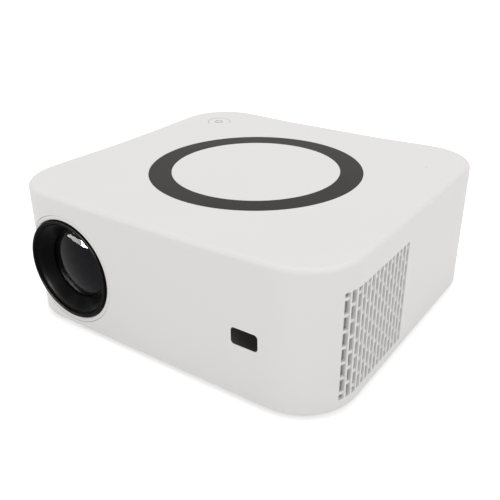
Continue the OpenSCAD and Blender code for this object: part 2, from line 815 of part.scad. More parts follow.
module hdmi_socket() { color([0.7, 0.7, 0.7]) union() socket(hdmi_x, 16, 6.4, 2.6, 1.2); }

module usb_sockets() {
    color([0.7, 0.7, 0.7]) union() for (x = usb_x) socket(x, 14, 7, 3.6, 1.8);
}

module audio_jacks() {
    color([0.1, 0.1, 0.1]) for (x = jack_x) difference() {
        union() {
            box([x - 4, socket_in, board_top], [x + 4, panel_in - 1, board_top + 8]);
            along_y([x, panel_in - 1 - pad, jack_z]) cylinder(h = rear_y - panel_in + 1 + pad, r = 3.4);
        }
        along_y([x, rear_y - jack_len, jack_z]) cylinder(h = jack_len + pad, r = jack_r);
    }
}

module on_speaker(s) {
    translate([s * speaker_x, panel_in, speaker_z]) rotate([90, 0, 0]) children();
}

module speaker_frames() {
    rim = speaker_r;
    color([0.25, 0.25, 0.26]) for (s = [-1, 1]) on_speaker(s) rotate_extrude() polygon([
        [rim - 2.5, 0], [rim, 0], [rim, 2], [rim - 7.5, 8.5], [rim - 7.5, 17], [0, 17], [0, 9.5],
        [rim - 10.5, 9.5], [rim - 10, 8.4], [rim - 2.5, 2.2]]);
}

module speaker_cones() {
    rim = speaker_r - 2.8;
    color([0.1, 0.1, 0.1]) for (s = [-1, 1]) on_speaker(s) rotate_extrude() polygon([
        [rim - 1.1, 0.6], [rim, 0.6], [rim, 1.6], [6, 7.5], [0, 7.5], [0, 6.7], [5.6, 6.7]]);
}

module dust_filter() {
    half = (intake_columns * column_pitch) / 2 + 2;
    color([0.3, 0.3, 0.3]) box([left_x + wall + seam, intake_y - half, intake_z - 3],
        [left_x + wall + seam + 3.6, intake_y + half, intake_z + intake_rows * row_pitch + 1]);
}

// Fine net behind the slots on the right, bent round the corner and running back along the wall
module vent_net() {
    net_r = corner_r - wall - seam;
    low = vent_z - net_edge;
    high = vent_z + vent_len + net_edge;
    reach = slot_w / 2 + net_edge;
    start = (vent_start - reach) / corner_r * 180 / PI;
    color([0.6, 0.6, 0.6]) union() {
        translate([arc_x, front_y + corner_r, low]) rotate([0, 0, start])
            rotate_extrude(angle = -start) translate([net_r - net_t, 0]) square([net_t, high - low]);
        box([arc_x + net_r - net_t, front_y + corner_r, low],
            [arc_x + net_r, front_y + corner_r + vent_start + (columns - 1) * column_pitch + reach, high]);
    }
}

module drive_deck() {
    color([0.75, 0.76, 0.78]) difference() {
        box([left_x + 7, mid_y - 68, deck_z], [drive_back + 2, mid_y + 68, deck_z + deck_t]);
        for (y = [-40, 40]) translate([disc_x + 15, mid_y + y, deck_z - pad])
            cylinder(h = deck_t + 2 * pad, r = 12);
    }
}

module drive_chassis() {
    half = drive_w / 2;
    lip_z = tongue_h / 2 + slack + rail_t + slack;
    color([0.72, 0.73, 0.75]) {
        difference() {
            box([drive_x, mid_y - half, drive_z], [drive_back, mid_y + half, drive_top - sheet]);
            box([drive_x - pad, mid_y - half + sheet, drive_z + sheet],
                [drive_back - sheet, mid_y + half - sheet, drive_top]);
        }
        // Stamped lips that guide the slide rails
        for (s = [-1, 1], z = [rail_mid_z - lip_z - 0.6, rail_mid_z + lip_z])
            translate([drive_x, mid_y + s * (half - sheet - 0.8) - 0.9, z])
                cube([drive_d - sheet, 1.8, 0.6]);
    }
}

module drive_cover() {
    color([0.78, 0.79, 0.8]) difference() {
        box([drive_x, mid_y - drive_w / 2, drive_top - sheet], [drive_back, mid_y + drive_w / 2, drive_top]);
        translate([disc_x, mid_y, drive_top - 0.2]) ring(52, 50, 1);
    }
}

module slide_rails() {
    z0 = rail_mid_z - tongue_h / 2 - slack - rail_t;
    z1 = rail_mid_z + tongue_h / 2 + slack + rail_t;
    color([0.6, 0.61, 0.63]) for (s = [0, 1]) translate([0, mid_y, 0]) mirror([0, s, 0]) difference() {
        box([drive_x + 0.5, rail_half - rail_grip, z0], [drive_back - 1.5, rail_half, z1]);
        box([drive_x - pad, rail_half - rail_grip - pad, z0 + rail_t],
            [drive_back, rail_half - rail_t, z1 - rail_t]);
    }
}

// Mechanism coordinates: x runs out from the disc centre along the sled's path
module on_sled_line() { translate([disc_x, mid_y, 0]) rotate([0, 0, sled_turn]) children(); }

module disc_tray() {
    cavity_top = well_z - well_floor;
    color([0.16, 0.16, 0.17]) difference() {
        union() {
            difference() {
                box([tray_front, mid_y - tray_half, tray_z], [tray_back, mid_y + tray_half, tray_top]);
                box([tray_front + skirt, mid_y - tray_half + skirt, tray_z - pad],
                    [tray_back - skirt, mid_y + tray_half - skirt, cavity_top]);
            }
            for (s = [-1, 1]) translate([tray_front, mid_y + s * (tray_half + 0.5) - 0.5 - 0.1,
                    rail_mid_z - tongue_h / 2])
                cube([tray_back - tray_front, 1.2, tongue_h]);
            on_sled_line() {
                for (u = [rod_in - 1, rod_out - 1], v = [-rod_off, rod_off])
                    box([u, v - 2, rod_z - 1.8], [u + 3, v + 2, cavity_top + 0.1]);
                box([screw_out - 1, screw_off - 2, rod_z - 1.8], [screw_out + 1.5, screw_off + 2, cavity_top + 0.1]);
            }
        }
        translate([disc_x, mid_y, well_z]) cylinder(h = 10, r = well_r);
        translate([disc_x, mid_y, well_z - small_well_drop]) cylinder(h = 10, r = small_well_r);
        translate([disc_x, mid_y, cavity_top - pad]) cylinder(h = 10, r = hub_open_r);
        on_sled_line() {
            box([0, -7, cavity_top - pad / 2], [rod_out + 2, 7, well_z + pad]);
            for (v = [-rod_off, rod_off]) along_x([rod_in, v, rod_z])
                cylinder(h = rod_out - rod_in + 1, r = rod_r + touch);
            along_x([screw_out - 2, screw_off, rod_z]) cylinder(h = 2.5, r = rod_r + running);
        }
        box([tray_front - pad, eject_at[0] - eject_size[0] / 2 - slack, eject_at[1] - eject_size[1] / 2 - slack],
            [tray_front + skirt + pad, eject_at[0] + eject_size[0] / 2 + slack,
                eject_at[1] + eject_size[1] / 2 + slack]);
    }
}

module tray_bezel() {
    color([0.9, 0.89, 0.89]) difference() {
        box([left_x, mid_y - drive_w / 2 + slack, drive_z + slack],
            [tray_front, mid_y + drive_w / 2 - slack, drive_top - slack]);
        box([left_x - pad, eject_at[0] - eject_size[0] / 2 - slack, eject_at[1] - eject_size[1] / 2 - slack],
            [tray_front + pad, eject_at[0] + eject_size[0] / 2 + slack,
                eject_at[1] + eject_size[1] / 2 + slack]);
        for (k = [10, 15]) along_x([left_x - pad, eject_at[0] - k, eject_at[1]])
            cylinder(h = face_t + 2 * pad, r = 0.6);
    }
}

module eject_button() {
    color([0.82, 0.82, 0.82]) box([left_x, eject_at[0] - eject_size[0] / 2, eject_at[1] - eject_size[1] / 2],
        [tray_front + 1.2, eject_at[0] + eject_size[0] / 2, eject_at[1] + eject_size[1] / 2]);
}

module spindle_motor() {
    cavity_top = well_z - well_floor;
    color([0.65, 0.66, 0.68]) difference() {
        union() {
            translate([disc_x, mid_y, tray_z + 0.4]) cylinder(h = well_z - 0.5 - tray_z - 0.4, r = motor_r);
            on_sled_line() box([-hub_open_r - 3, screw_off + 3, cavity_top - 0.8],
                [rod_in - 2, hub_open_r + 3, cavity_top]);
        }
        translate([disc_x, mid_y, tray_z + 1.2]) cylinder(h = 10, r = spindle_r + running);
    }
}

module turntable_hub() {
    color([0.12, 0.12, 0.13]) translate([disc_x, mid_y, 0]) union() {
        translate([0, 0, tray_z + 1.5]) cylinder(h = well_z - tray_z - 1, r = spindle_r);
        translate([0, 0, well_z - 0.1]) cylinder(h = 0.8, r = hub_flange_r);
        translate([0, 0, well_z]) cylinder(h = 2.6, r = 7.4);
        translate([0, 0, well_z + 2.6]) cylinder(h = 0.8, r1 = 7.4, r2 = 5.6);
    }
}

module pickup_sled() {
    color([0.5, 0.5, 0.52]) on_sled_line() difference() {
        union() {
            box([read_r - sled_len / 2, -12.1, sled_z], [read_r + sled_len / 2, 13, sled_top]);
            box([read_r - 3, screw_off - 2.4, sled_z], [read_r + 3, -12, sled_top]);
            translate([read_r, 0, sled_top - pad]) cylinder(h = pad + 1.4, r = 5);
        }
        for (v = [-rod_off, rod_off]) along_x([read_r - sled_len, v, rod_z])
            cylinder(h = 2 * sled_len, r = rod_r + running);
        along_x([read_r - sled_len, screw_off, rod_z]) cylinder(h = 2 * sled_len, r = rod_r + running);
        translate([read_r, 0, sled_top + 0.8]) cylinder(h = 2, r = 2.6);
    }
}

module guide_rods() {
    color([0.8, 0.8, 0.82]) on_sled_line() for (v = [-rod_off, rod_off])
        along_x([rod_in, v, rod_z]) cylinder(h = rod_out - rod_in, r = rod_r);
}

module lead_screw() {
    color([0.7, 0.65, 0.5]) on_sled_line() along_x([screw_in, screw_off, rod_z])
        cylinder(h = screw_out - screw_in, r = rod_r);
}

module sled_motor() {
    cavity_top = well_z - well_floor;
    color([0.6, 0.6, 0.62]) on_sled_line() difference() {
        box([screw_in - 10, screw_off - 2.2, rod_z - 2.2], [screw_in + 1, screw_off + 2.2, cavity_top]);
        along_x([screw_in - 0.4, screw_off, rod_z]) cylinder(h = 4, r = rod_r + running);
    }
}

module rubber_feet() {
    color([0.12, 0.12, 0.12]) at_corners(foot_at[0], foot_at[1]) {
        cylinder(h = foot_h, r = foot_r);
        cylinder(h = foot_h + wall + 1, r = 2.5);
    }
}

module foot_insert() {
    color([0.8, 0.65, 0.3]) translate([stud_at[0], stud_at[1], base_z])
        ring(insert_r, stud_r + running, insert_len);
}

module foot_tip() {
    color([0.1, 0.1, 0.1]) translate([stud_at[0], stud_at[1], 0.4]) {
        cylinder(h = 0.7, r = 6);
        cylinder(h = 3.4, r = 1.5);
    }
}

module foot_stud() {
    color([0.3, 0.3, 0.3]) translate([stud_at[0], stud_at[1], 0]) difference() {
        union() {
            translate([0, 0, 1.1 + 0.1]) cylinder(h = foot_h - 1.1 - 0.1 - slack, r = 9);
            translate([0, 0, 1.1 + 0.1]) cylinder(h = stud_top - 1.2, r = stud_r);
        }
        cylinder(h = 4.2, r = 1.5 + running);
    }
}

module tripod_insert() {
    color([0.8, 0.65, 0.3]) translate([tripod_at[0], tripod_at[1], base_z])
        ring(tripod_r + 2.9, tripod_r, tripod_len);
}

module case_screws() {
    color([0.6, 0.6, 0.62]) for (sx = [-1, 1], sy = [-1, 1])
        translate([sx * arc_x, mid_y + sy * arc_y, 0]) rotate([0, 0, atan2(sy, sx)])
            translate([screw_reach + 7, 0, base_z + wall - 1 - 1.2]) difference() {
                union() {
                    cylinder(h = 1.2, r = 3);
                    cylinder(h = boss_h, r = screw_r);
                }
                for (a = [0, 90]) rotate([0, 0, a]) translate([-1.6, -0.35, -pad])
                    cube([3.2, 0.7, pad + 0.7]);
            }
}

upper_shell();
bottom_cover();
rear_panel();
ring_inlay();
ir_window();
ir_receiver();
status_light();
power_button();
button_board();
lens_bezel();
lens_holder();
focus_carriage();
focus_barrel();
barrel_retainer();
front_glass();
rear_lens();
engine_housing();
engine_lid();
fold_mirror();
field_lens();
lcd_panel();
collimator_lens();
heat_glass();
condenser_lens();
led_module();
heat_sink();
fan_frame();
fan_rotor();
main_board();
power_board();
ac_inlet();
hdmi_socket();
usb_sockets();
audio_jacks();
speaker_frames();
speaker_cones();
dust_filter();
vent_net();
drive_deck();
drive_chassis();
drive_cover();
slide_rails();
disc_tray();
tray_bezel();
eject_button();
spindle_motor();
turntable_hub();
pickup_sled();
guide_rods();
lead_screw();
sled_motor();
rubber_feet();
foot_insert();
foot_tip();
foot_stud();
tripod_insert();
case_screws();
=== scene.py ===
import math

import bpy
from mathutils import Matrix, Vector


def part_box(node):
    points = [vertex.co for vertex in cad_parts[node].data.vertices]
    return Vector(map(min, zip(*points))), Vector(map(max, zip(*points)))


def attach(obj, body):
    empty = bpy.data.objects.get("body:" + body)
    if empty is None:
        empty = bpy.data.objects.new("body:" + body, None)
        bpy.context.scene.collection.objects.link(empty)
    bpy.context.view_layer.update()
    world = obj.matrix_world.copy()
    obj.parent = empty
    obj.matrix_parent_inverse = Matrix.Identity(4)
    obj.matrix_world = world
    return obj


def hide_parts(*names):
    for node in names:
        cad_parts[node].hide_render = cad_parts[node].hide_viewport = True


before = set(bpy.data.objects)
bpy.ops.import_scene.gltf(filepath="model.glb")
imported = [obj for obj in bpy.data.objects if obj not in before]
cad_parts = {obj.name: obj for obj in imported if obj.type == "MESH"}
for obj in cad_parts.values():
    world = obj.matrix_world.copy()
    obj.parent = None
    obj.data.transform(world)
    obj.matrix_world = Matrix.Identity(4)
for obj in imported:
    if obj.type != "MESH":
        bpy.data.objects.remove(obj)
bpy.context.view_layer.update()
MM = 0.001

# ---------------------------------------------------------------------------------------------
# Camera. It stands off the front right corner, a little above the projector, and looks down on
# it with a short telephoto lens. Its place comes from fitting the body's outline.
CAMERA_AT = Vector((231.12, -337.23, 235.22)) * MM
CAMERA_AZIMUTH = math.radians(34.978)
CAMERA_ELEVATION = math.radians(26.744)
CAMERA_ROLL = math.radians(-0.446)
FOCAL_SHARE = 662.38 / 500          # focal length over picture width
SENSOR = 36

away = Vector((math.sin(CAMERA_AZIMUTH) * math.cos(CAMERA_ELEVATION),
               -math.cos(CAMERA_AZIMUTH) * math.cos(CAMERA_ELEVATION),
               math.sin(CAMERA_ELEVATION)))
level = (-away).cross(Vector((0, 0, 1))).normalized()
upward = level.cross(-away)
camera_data = bpy.data.cameras.new("camera")
camera_data.sensor_width = SENSOR
camera_data.lens = FOCAL_SHARE * SENSOR
camera_data.clip_start = 0.01
camera = bpy.data.objects.new("camera", camera_data)
scene = bpy.context.scene
scene.collection.objects.link(camera)
turn = Matrix((level, upward, away)).transposed().to_4x4()
camera.matrix_world = (Matrix.Translation(CAMERA_AT) @ turn
                       @ Matrix.Rotation(CAMERA_ROLL, 4, "Z"))
scene.camera = camera
scene.view_settings.view_transform = "Standard"


# ---------------------------------------------------------------------------------------------
# Studio. A pale floor under a soft overhead light, with a broad softbox on the right, two weak
# fills in front and two low strips for the lens. The background comes out white by itself.
FLOOR_HALF = 6.0
FLOOR_GLOW = 0.48
SKY = 0.62


def link(tree, a, b):
    tree.links.new(a, b)


def new_material(name):
    material = bpy.data.materials.new(name)
    material.use_nodes = True
    material.node_tree.nodes.clear()
    return material, material.node_tree


def seen_directly(tree):
    """1 for camera, glossy and transmission rays, 0 for the rays that light the object."""
    path = tree.nodes.new("ShaderNodeLightPath")
    first = tree.nodes.new("ShaderNodeMath")
    first.operation = "MAXIMUM"
    link(tree, path.outputs["Is Camera Ray"], first.inputs[0])
    link(tree, path.outputs["Is Transmission Ray"], first.inputs[1])
    both = tree.nodes.new("ShaderNodeMath")
    both.operation = "MAXIMUM"
    link(tree, first.outputs[0], both.inputs[0])
    link(tree, path.outputs["Is Glossy Ray"], both.inputs[1])
    return both.outputs[0]


floor_material, tree = new_material("pale_floor")
floor_diffuse = tree.nodes.new("ShaderNodeBsdfDiffuse")
floor_diffuse.inputs["Color"].default_value = (0.8, 0.8, 0.8, 1)
floor_glow = tree.nodes.new("ShaderNodeEmission")
floor_glow.inputs["Color"].default_value = (1, 1, 1, 1)
glow_level = tree.nodes.new("ShaderNodeMath")
glow_level.operation = "MULTIPLY"
glow_level.inputs[1].default_value = FLOOR_GLOW
link(tree, seen_directly(tree), glow_level.inputs[0])
link(tree, glow_level.outputs[0], floor_glow.inputs["Strength"])
floor_sum = tree.nodes.new("ShaderNodeAddShader")
link(tree, floor_diffuse.outputs[0], floor_sum.inputs[0])
link(tree, floor_glow.outputs[0], floor_sum.inputs[1])
floor_out = tree.nodes.new("ShaderNodeOutputMaterial")
link(tree, floor_sum.outputs[0], floor_out.inputs["Surface"])

floor_mesh = bpy.data.meshes.new("floor")
floor_mesh.from_pydata([(-FLOOR_HALF, -FLOOR_HALF, 0), (FLOOR_HALF, -FLOOR_HALF, 0),
                        (FLOOR_HALF, FLOOR_HALF, 0), (-FLOOR_HALF, FLOOR_HALF, 0)],
                       [], [(0, 1, 2, 3)])
floor = bpy.data.objects.new("floor", floor_mesh)
floor_mesh.materials.append(floor_material)
scene.collection.objects.link(floor)

world = bpy.data.worlds.new("studio")
world.use_nodes = True
tree = world.node_tree
tree.nodes.clear()
sky = tree.nodes.new("ShaderNodeBackground")
sky_level = tree.nodes.new("ShaderNodeMapRange")
sky_level.inputs["To Min"].default_value = SKY
sky_level.inputs["To Max"].default_value = 1.0
link(tree, seen_directly(tree), sky_level.inputs["Value"])
link(tree, sky_level.outputs[0], sky.inputs["Strength"])
sky.inputs["Color"].default_value = (1, 1, 1, 1)
sky_out = tree.nodes.new("ShaderNodeOutputWorld")
link(tree, sky.outputs[0], sky_out.inputs["Surface"])
scene.world = world


def softbox(name, place, target, width, height, watts):
    lamp = bpy.data.lights.new(name, "AREA")
    lamp.shape = "RECTANGLE"
    lamp.size, lamp.size_y = width, height
    lamp.energy = watts
    rig = bpy.data.objects.new(name, lamp)
    scene.collection.objects.link(rig)
    rig.location = place
    rig.rotation_euler = (Vector(target) - Vector(place)).to_track_quat("-Z", "Y").to_euler()
    return rig


BODY_AT = (0, 0, 0.05)
softbox("overhead", (-0.1, 0.25, 1.5), BODY_AT, 1.2, 1.2, 5.7)
softbox("right_box", (1.25, -0.35, 0.75), BODY_AT, 0.7, 0.9, 3.5)
softbox("left_fill", (-0.9, -1.3, 0.8), BODY_AT, 0.6, 0.6, 2.6)
softbox("front_fill", (0.25, -1.4, 0.35), BODY_AT, 0.6, 0.6, 1.6)
# The strips are seen only as reflections, and only in the pieces that are linked to them later.
LENS_AT = (-0.065, -0.1, 0.045)
lens_lights = bpy.data.collections.new("lens_lights")
for name, place, width, height, watts in (("low_strip", (-0.37, -1.31, 0.14), 0.8, 0.26, 110.0),
                                          ("side_strip", (-0.95, -1.0, 0.1), 0.55, 0.16, 9.0)):
    strip = softbox(name, place, LENS_AT, width, height, watts)
    strip.visible_camera = False
    strip.visible_diffuse = False
    strip.light_linking.receiver_collection = lens_lights


# ---------------------------------------------------------------------------------------------
# Upper shell. One injection moulding in white ABS: four walls with round corners, a softly
# rounded top edge, and a shallow round dish in the roof. All openings are moulded into it.
LOW, HIGH = (Vector(c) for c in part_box("upper_shell"))
MIDDLE = Vector(((LOW.x + HIGH.x) / 2, (LOW.y + HIGH.y) / 2, 0))
HALF_W = (HIGH.x - LOW.x) / 2
HALF_D = (HIGH.y - LOW.y) / 2
BASE_Z, TOP_Z = LOW.z, HIGH.z
CORNER_R = 34.5 * MM
TOP_EDGE_R = 3.0 * MM
FOOT_EDGE_R = 1.0 * MM
WALL = 2.5 * MM
ROOF_Z = TOP_Z - 4.2 * MM
DISH_DROP = 0.85 * MM
DISH_RIM_R = 126 * MM
DISH_FLOOR_R = 112 * MM
DISH_BLEND = 5 * MM
RING_OUT = 69.3 * MM
RING_IN = 54.6 * MM
RING_T = 0.9 * MM
CORNER_STEPS = 24
SIDE_STEPS = 28


def add_object(name, vertices, faces, material=None):
    mesh = bpy.data.meshes.new(name)
    mesh.from_pydata([tuple(v) for v in vertices], [], faces)
    mesh.update()
    piece = bpy.data.objects.new(name, mesh)
    scene.collection.objects.link(piece)
    if material:
        mesh.materials.append(material)
    return piece


def round_off(piece, degrees=32):
    """Smooth shading, with a hard line only where two faces meet at more than this angle."""
    piece.data.polygons.foreach_set("use_smooth", [True] * len(piece.data.polygons))
    piece.data.set_sharp_from_angle(angle=math.radians(degrees))
    return piece


def skin(loops, first_cap=True, last_cap=True):
    """Vertices and faces of a surface through closed loops of equally many points."""
    count = len(loops[0])
    vertices = [p for loop in loops for p in loop]
    faces = []
    for k in range(len(loops) - 1):
        for i in range(count):
            j = (i + 1) % count
            faces.append((k * count + i, k * count + j, (k + 1) * count + j, (k + 1) * count + i))
    if first_cap:
        faces.append(tuple(range(count))[::-1])
    if last_cap:
        faces.append(tuple((len(loops) - 1) * count + i for i in range(count)))
    return vertices, faces


CORNERS = ((1, -1), (1, 1), (-1, 1), (-1, -1))


def corner_point(k, inset, degrees):
    """Point of the plan on the round of corner k, in the given direction from its middle."""
    sx, sy = CORNERS[k % 4]
    middle = Vector((MIDDLE.x + sx * (HALF_W - CORNER_R), MIDDLE.y + sy * (HALF_D - CORNER_R)))
    a = math.radians(degrees)
    return middle + (CORNER_R - inset) * Vector((math.cos(a), math.sin(a)))


def body_outline(inset):
    """The body's plan, drawn in by inset, as points from the front right corner round."""
    points = []
    for k in range(4):
        points += [corner_point(k, inset, 90 * (k - 1) + 90 * i / CORNER_STEPS)
                   for i in range(CORNER_STEPS + 1)]
        start, end = points[-1], corner_point(k + 1, inset, 90 * k)
        points += [start.lerp(end, i / SIDE_STEPS) for i in range(1, SIDE_STEPS)]
    return points


def roof_height(x, y):
    """Height of the roof: flat in the corners, sloping gently down to the floor of the dish."""
    r = math.hypot(x - MIDDLE.x, y - MIDDLE.y)
    ramp = (DISH_RIM_R - r) / (DISH_RIM_R - DISH_FLOOR_R)
    soft = DISH_BLEND / (DISH_RIM_R - DISH_FLOOR_R)

    def bend(t):
        if t <= -soft / 2:
            return 0.0
        if t >= soft / 2:
            return t
        return (t + soft / 2) ** 2 / (2 * soft)

    return TOP_Z - DISH_DROP * (bend(ramp) - bend(ramp - 1))


def at_height(points, z):
    return [Vector((p.x, p.y, z)) for p in points]


def on_roof(points, drop=0.0):
    return [Vector((p.x, p.y, roof_height(p.x, p.y) - drop)) for p in points]


def round_points(r, directions):
    """Points round the middle of the dish, one in each direction."""
    return [Vector((MIDDLE.x + r * math.cos(a), MIDDLE.y + r * math.sin(a))) for a in directions]


def whole_turn(steps):
    return [2 * math.pi * i / steps for i in range(steps)]


outline = body_outline(0)
headings = [math.atan2(p.y - MIDDLE.y, p.x - MIDDLE.x) for p in outline]
loops = [at_height(body_outline(WALL), ROOF_Z), at_height(body_outline(WALL), BASE_Z)]
for k in range(5):
    a = math.radians(90 * k / 4)
    loops.append(at_height(body_outline(FOOT_EDGE_R * (1 - math.sin(a))),
                           BASE_Z + FOOT_EDGE_R * (1 - math.cos(a))))
for k in range(9):
    a = math.radians(90 * k / 8)
    shift = TOP_EDGE_R * (1 - math.cos(a))
    drop = TOP_EDGE_R * (1 - math.sin(a))
    loops.append([Vector((p.x, p.y, roof_height(q.x, q.y) - drop))
                  for p, q in zip(body_outline(shift), body_outline(TOP_EDGE_R))])
ROOF_INSETS = (4, 5.5, 7.5, 10, 13, 16, 19, 22, 25, 28, 31)
for inset in ROOF_INSETS:
    loops.append(on_roof(body_outline(inset * MM)))
last = [Vector((p.x, p.y)) for p in loops[-1]]
lip = 0.15 * MM
circle = round_points(RING_OUT + lip, headings)
for k in range(1, 9):
    loops.append(on_roof([p.lerp(q, k / 8) for p, q in zip(last, circle)]))
for r, drop in ((RING_OUT, lip), (RING_OUT, RING_T), (RING_IN, RING_T), (RING_IN, lip),
                (RING_IN - lip, 0)):
    loops.append(on_roof(round_points(r, headings), drop))
INNER_RADII = (50, 42, 34, 26, 18, 10, 3)
for r in INNER_RADII:
    loops.append(on_roof(round_points(r * MM, headings)))
shell = add_object("shell_body", *skin(loops))


def rounded_box_points(half_u, half_v, r, steps=2):
    points = []
    for k, (su, sv) in enumerate(CORNERS):
        for i in range(steps + 1):
            a = math.radians(90 * (k - 1) + 90 * i / steps)
            points.append((su * (half_u - r) + r * math.cos(a),
                           sv * (half_v - r) + r * math.sin(a)))
    return points


PROUD = 1 * MM                      # a cutter stands this far out of the wall


def mouth_cutter(place, outward, across, half_u, half_v, r, depth, flare, steps=2):
    """A plug that cuts an opening with a small chamfer at its mouth.
    It is centred on place, points along outward, and half_u lies along across."""
    upright = outward.cross(across)
    levels = ((-depth, 0), (-flare, 0), (0, flare), (PROUD, flare))
    out = []
    for level_at, grow in levels:
        out.append([place + outward * level_at + across * u + upright * v
                    for u, v in rounded_box_points(half_u + grow, half_v + grow, r + grow, steps)])
    return skin(out)


def join_parts(parts):
    vertices, faces = [], []
    for v, f in parts:
        faces += [tuple(i + len(vertices) for i in face) for face in f]
        vertices += v
    return vertices, faces


def cut(piece, vertices, faces):
    """Takes the cutter's shape out of the piece for good."""
    cutter = add_object("cutter", vertices, faces)
    modifier = piece.modifiers.new("cut", "BOOLEAN")
    modifier.operation = "DIFFERENCE"
    modifier.solver = "EXACT"
    modifier.object = cutter
    bpy.context.view_layer.update()
    graph = bpy.context.evaluated_depsgraph_get()
    mesh = bpy.data.meshes.new_from_object(piece.evaluated_get(graph))
    piece.modifiers.clear()
    piece.data = mesh
    bpy.data.objects.remove(cutter)


# Vents. Columns of slots run round the front right corner and along the right side, and a
# smaller field lets air in on the left. The slots of a column open into one shallow groove.
SLOT_W = 3.5 * MM
SLOT_LEN = 7.6 * MM
COLUMN_PITCH = 4.85 * MM
ROW_PITCH = 9.5 * MM
COLUMNS = 15
ROWS = 7
FIRST_COLUMN = -12.85 * MM          # along the wall, from where the corner turns flat
VENT_Z = BASE_Z + 5.9 * MM
VENT_TOP = VENT_Z + (ROWS - 1) * ROW_PITCH + SLOT_LEN
SLOT_R = 0.5 * MM
GROOVE_DEPTH = 0.9 * MM
GROOVE_STEP = 0.08 * MM             # a slot is this much narrower than its groove on each side
MOUTH_FLARE = 0.28 * MM
SLOT_FLARE = 0.02 * MM
THROUGH = WALL + 1 * MM
UP = Vector((0, 0, 1))
FRONT, BACK = Vector((0, -1, 0)), Vector((0, 1, 0))
RIGHT, LEFT = Vector((1, 0, 0)), Vector((-1, 0, 0))


def right_wall(s):
    """Point and outward direction on the right side, s along the wall from the front corner."""
    corner = Vector((HIGH.x - CORNER_R, LOW.y + CORNER_R, 0))
    if s >= 0:
        return Vector((HIGH.x, corner.y + s, 0)), RIGHT
    a = s / CORNER_R
    outward = Vector((math.cos(a), math.sin(a), 0))
    return corner + CORNER_R * outward, outward


def vent_rows(column):
    """Middle and half height of each slot of a column; every other column is shifted half a row."""
    bridge = ROW_PITCH - SLOT_LEN
    if column % 2:
        return [(VENT_Z + SLOT_LEN / 2 + k * ROW_PITCH, SLOT_LEN / 2) for k in range(ROWS)]
    short = (SLOT_LEN - bridge) / 2
    rows = [(VENT_Z + short / 2, short / 2), (VENT_TOP - short / 2, short / 2)]
    return rows + [(VENT_Z + short + bridge + SLOT_LEN / 2 + k * ROW_PITCH, SLOT_LEN / 2)
                   for k in range(ROWS - 1)]


def groove_cutter(place, outward, across, low, high):
    """The groove of one column, from the lowest slot to the highest."""
    return mouth_cutter(place + UP * (low + high) / 2, outward, across, SLOT_W / 2,
                        (high - low) / 2, SLOT_R, GROOVE_DEPTH, MOUTH_FLARE)


def slot_cutter(place, outward, across, z, half):
    """One slot, from the bottom of its groove through the wall."""
    return mouth_cutter(place + UP * z, outward, across, SLOT_W / 2 - GROOVE_STEP, half, SLOT_R,
                        THROUGH, SLOT_FLARE)


grooves, slots = [], []
for column in range(COLUMNS):
    place, outward = right_wall(FIRST_COLUMN + column * COLUMN_PITCH)
    across = Vector((-outward.y, outward.x, 0))
    grooves.append(groove_cutter(place, outward, across, VENT_Z, VENT_TOP))
    for z, half in vent_rows(column):
        slots.append(slot_cutter(place, outward, across, z, half))
INTAKE_COLUMNS = 11
INTAKE_ROWS = 5
INTAKE_Y = MIDDLE.y + 35 * MM
FILTER_EDGE = 3 * MM                # the filter reaches this far below the lowest slot
INTAKE_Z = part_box("dust_filter")[0].z + FILTER_EDGE
INTAKE_TOP = INTAKE_Z + (INTAKE_ROWS - 1) * ROW_PITCH + SLOT_LEN
for column in range(INTAKE_COLUMNS):
    place = Vector((LOW.x, INTAKE_Y + (column - (INTAKE_COLUMNS - 1) / 2) * COLUMN_PITCH, 0))
    grooves.append(groove_cutter(place, LEFT, FRONT, INTAKE_Z, INTAKE_TOP))
    for row in range(INTAKE_ROWS):
        slots.append(slot_cutter(place, LEFT, FRONT, INTAKE_Z + row * ROW_PITCH + SLOT_LEN / 2,
                                 SLOT_LEN / 2))
cut(shell, *join_parts(grooves))
cut(shell, *join_parts(slots))

# Openings for the window, the power button and its light, the tray and the rear panel.
SEAM = 0.2 * MM
EDGE = 0.25 * MM
LENS_LOW, LENS_HIGH = (Vector(c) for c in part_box("focus_barrel"))
LENS_X = (LENS_LOW.x + LENS_HIGH.x) / 2
LENS_Z = (LENS_LOW.z + LENS_HIGH.z) / 2
BEZEL_LOW, BEZEL_HIGH = (Vector(c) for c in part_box("lens_bezel"))
BEZEL_R = (BEZEL_HIGH.x - BEZEL_LOW.x) / 2
WINDOW_LOW, WINDOW_HIGH = (Vector(c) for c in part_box("ir_window"))
POWER_LOW, POWER_HIGH = (Vector(c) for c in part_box("power_button"))
POWER_AT = (POWER_LOW + POWER_HIGH) / 2
POWER_R = 8.6 * MM
LIGHT_LOW, LIGHT_HIGH = (Vector(c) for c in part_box("status_light"))
LIGHT_AT = (LIGHT_LOW + LIGHT_HIGH) / 2
LIGHT_R = 0.8 * MM
TRAY_LOW, TRAY_HIGH = (Vector(c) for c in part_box("tray_bezel"))
PANEL_HALF = 78 * MM
PANEL_Z = (BASE_Z + 7 * MM, BASE_Z + 68 * MM)


def circle_cutter(place, outward, across, r, depth, flare, steps):
    """The same kind of plug for a round opening; it stands further out, as the roof slopes."""
    upright = outward.cross(across)
    out = []
    for level_at, grow in ((-depth, 0), (-flare, 0), (0, flare), (1.5 * PROUD, flare)):
        out.append([place + outward * level_at
                    + (across * math.cos(a) + upright * math.sin(a)) * (r + grow)
                    for a in whole_turn(steps)])
    return skin(out)


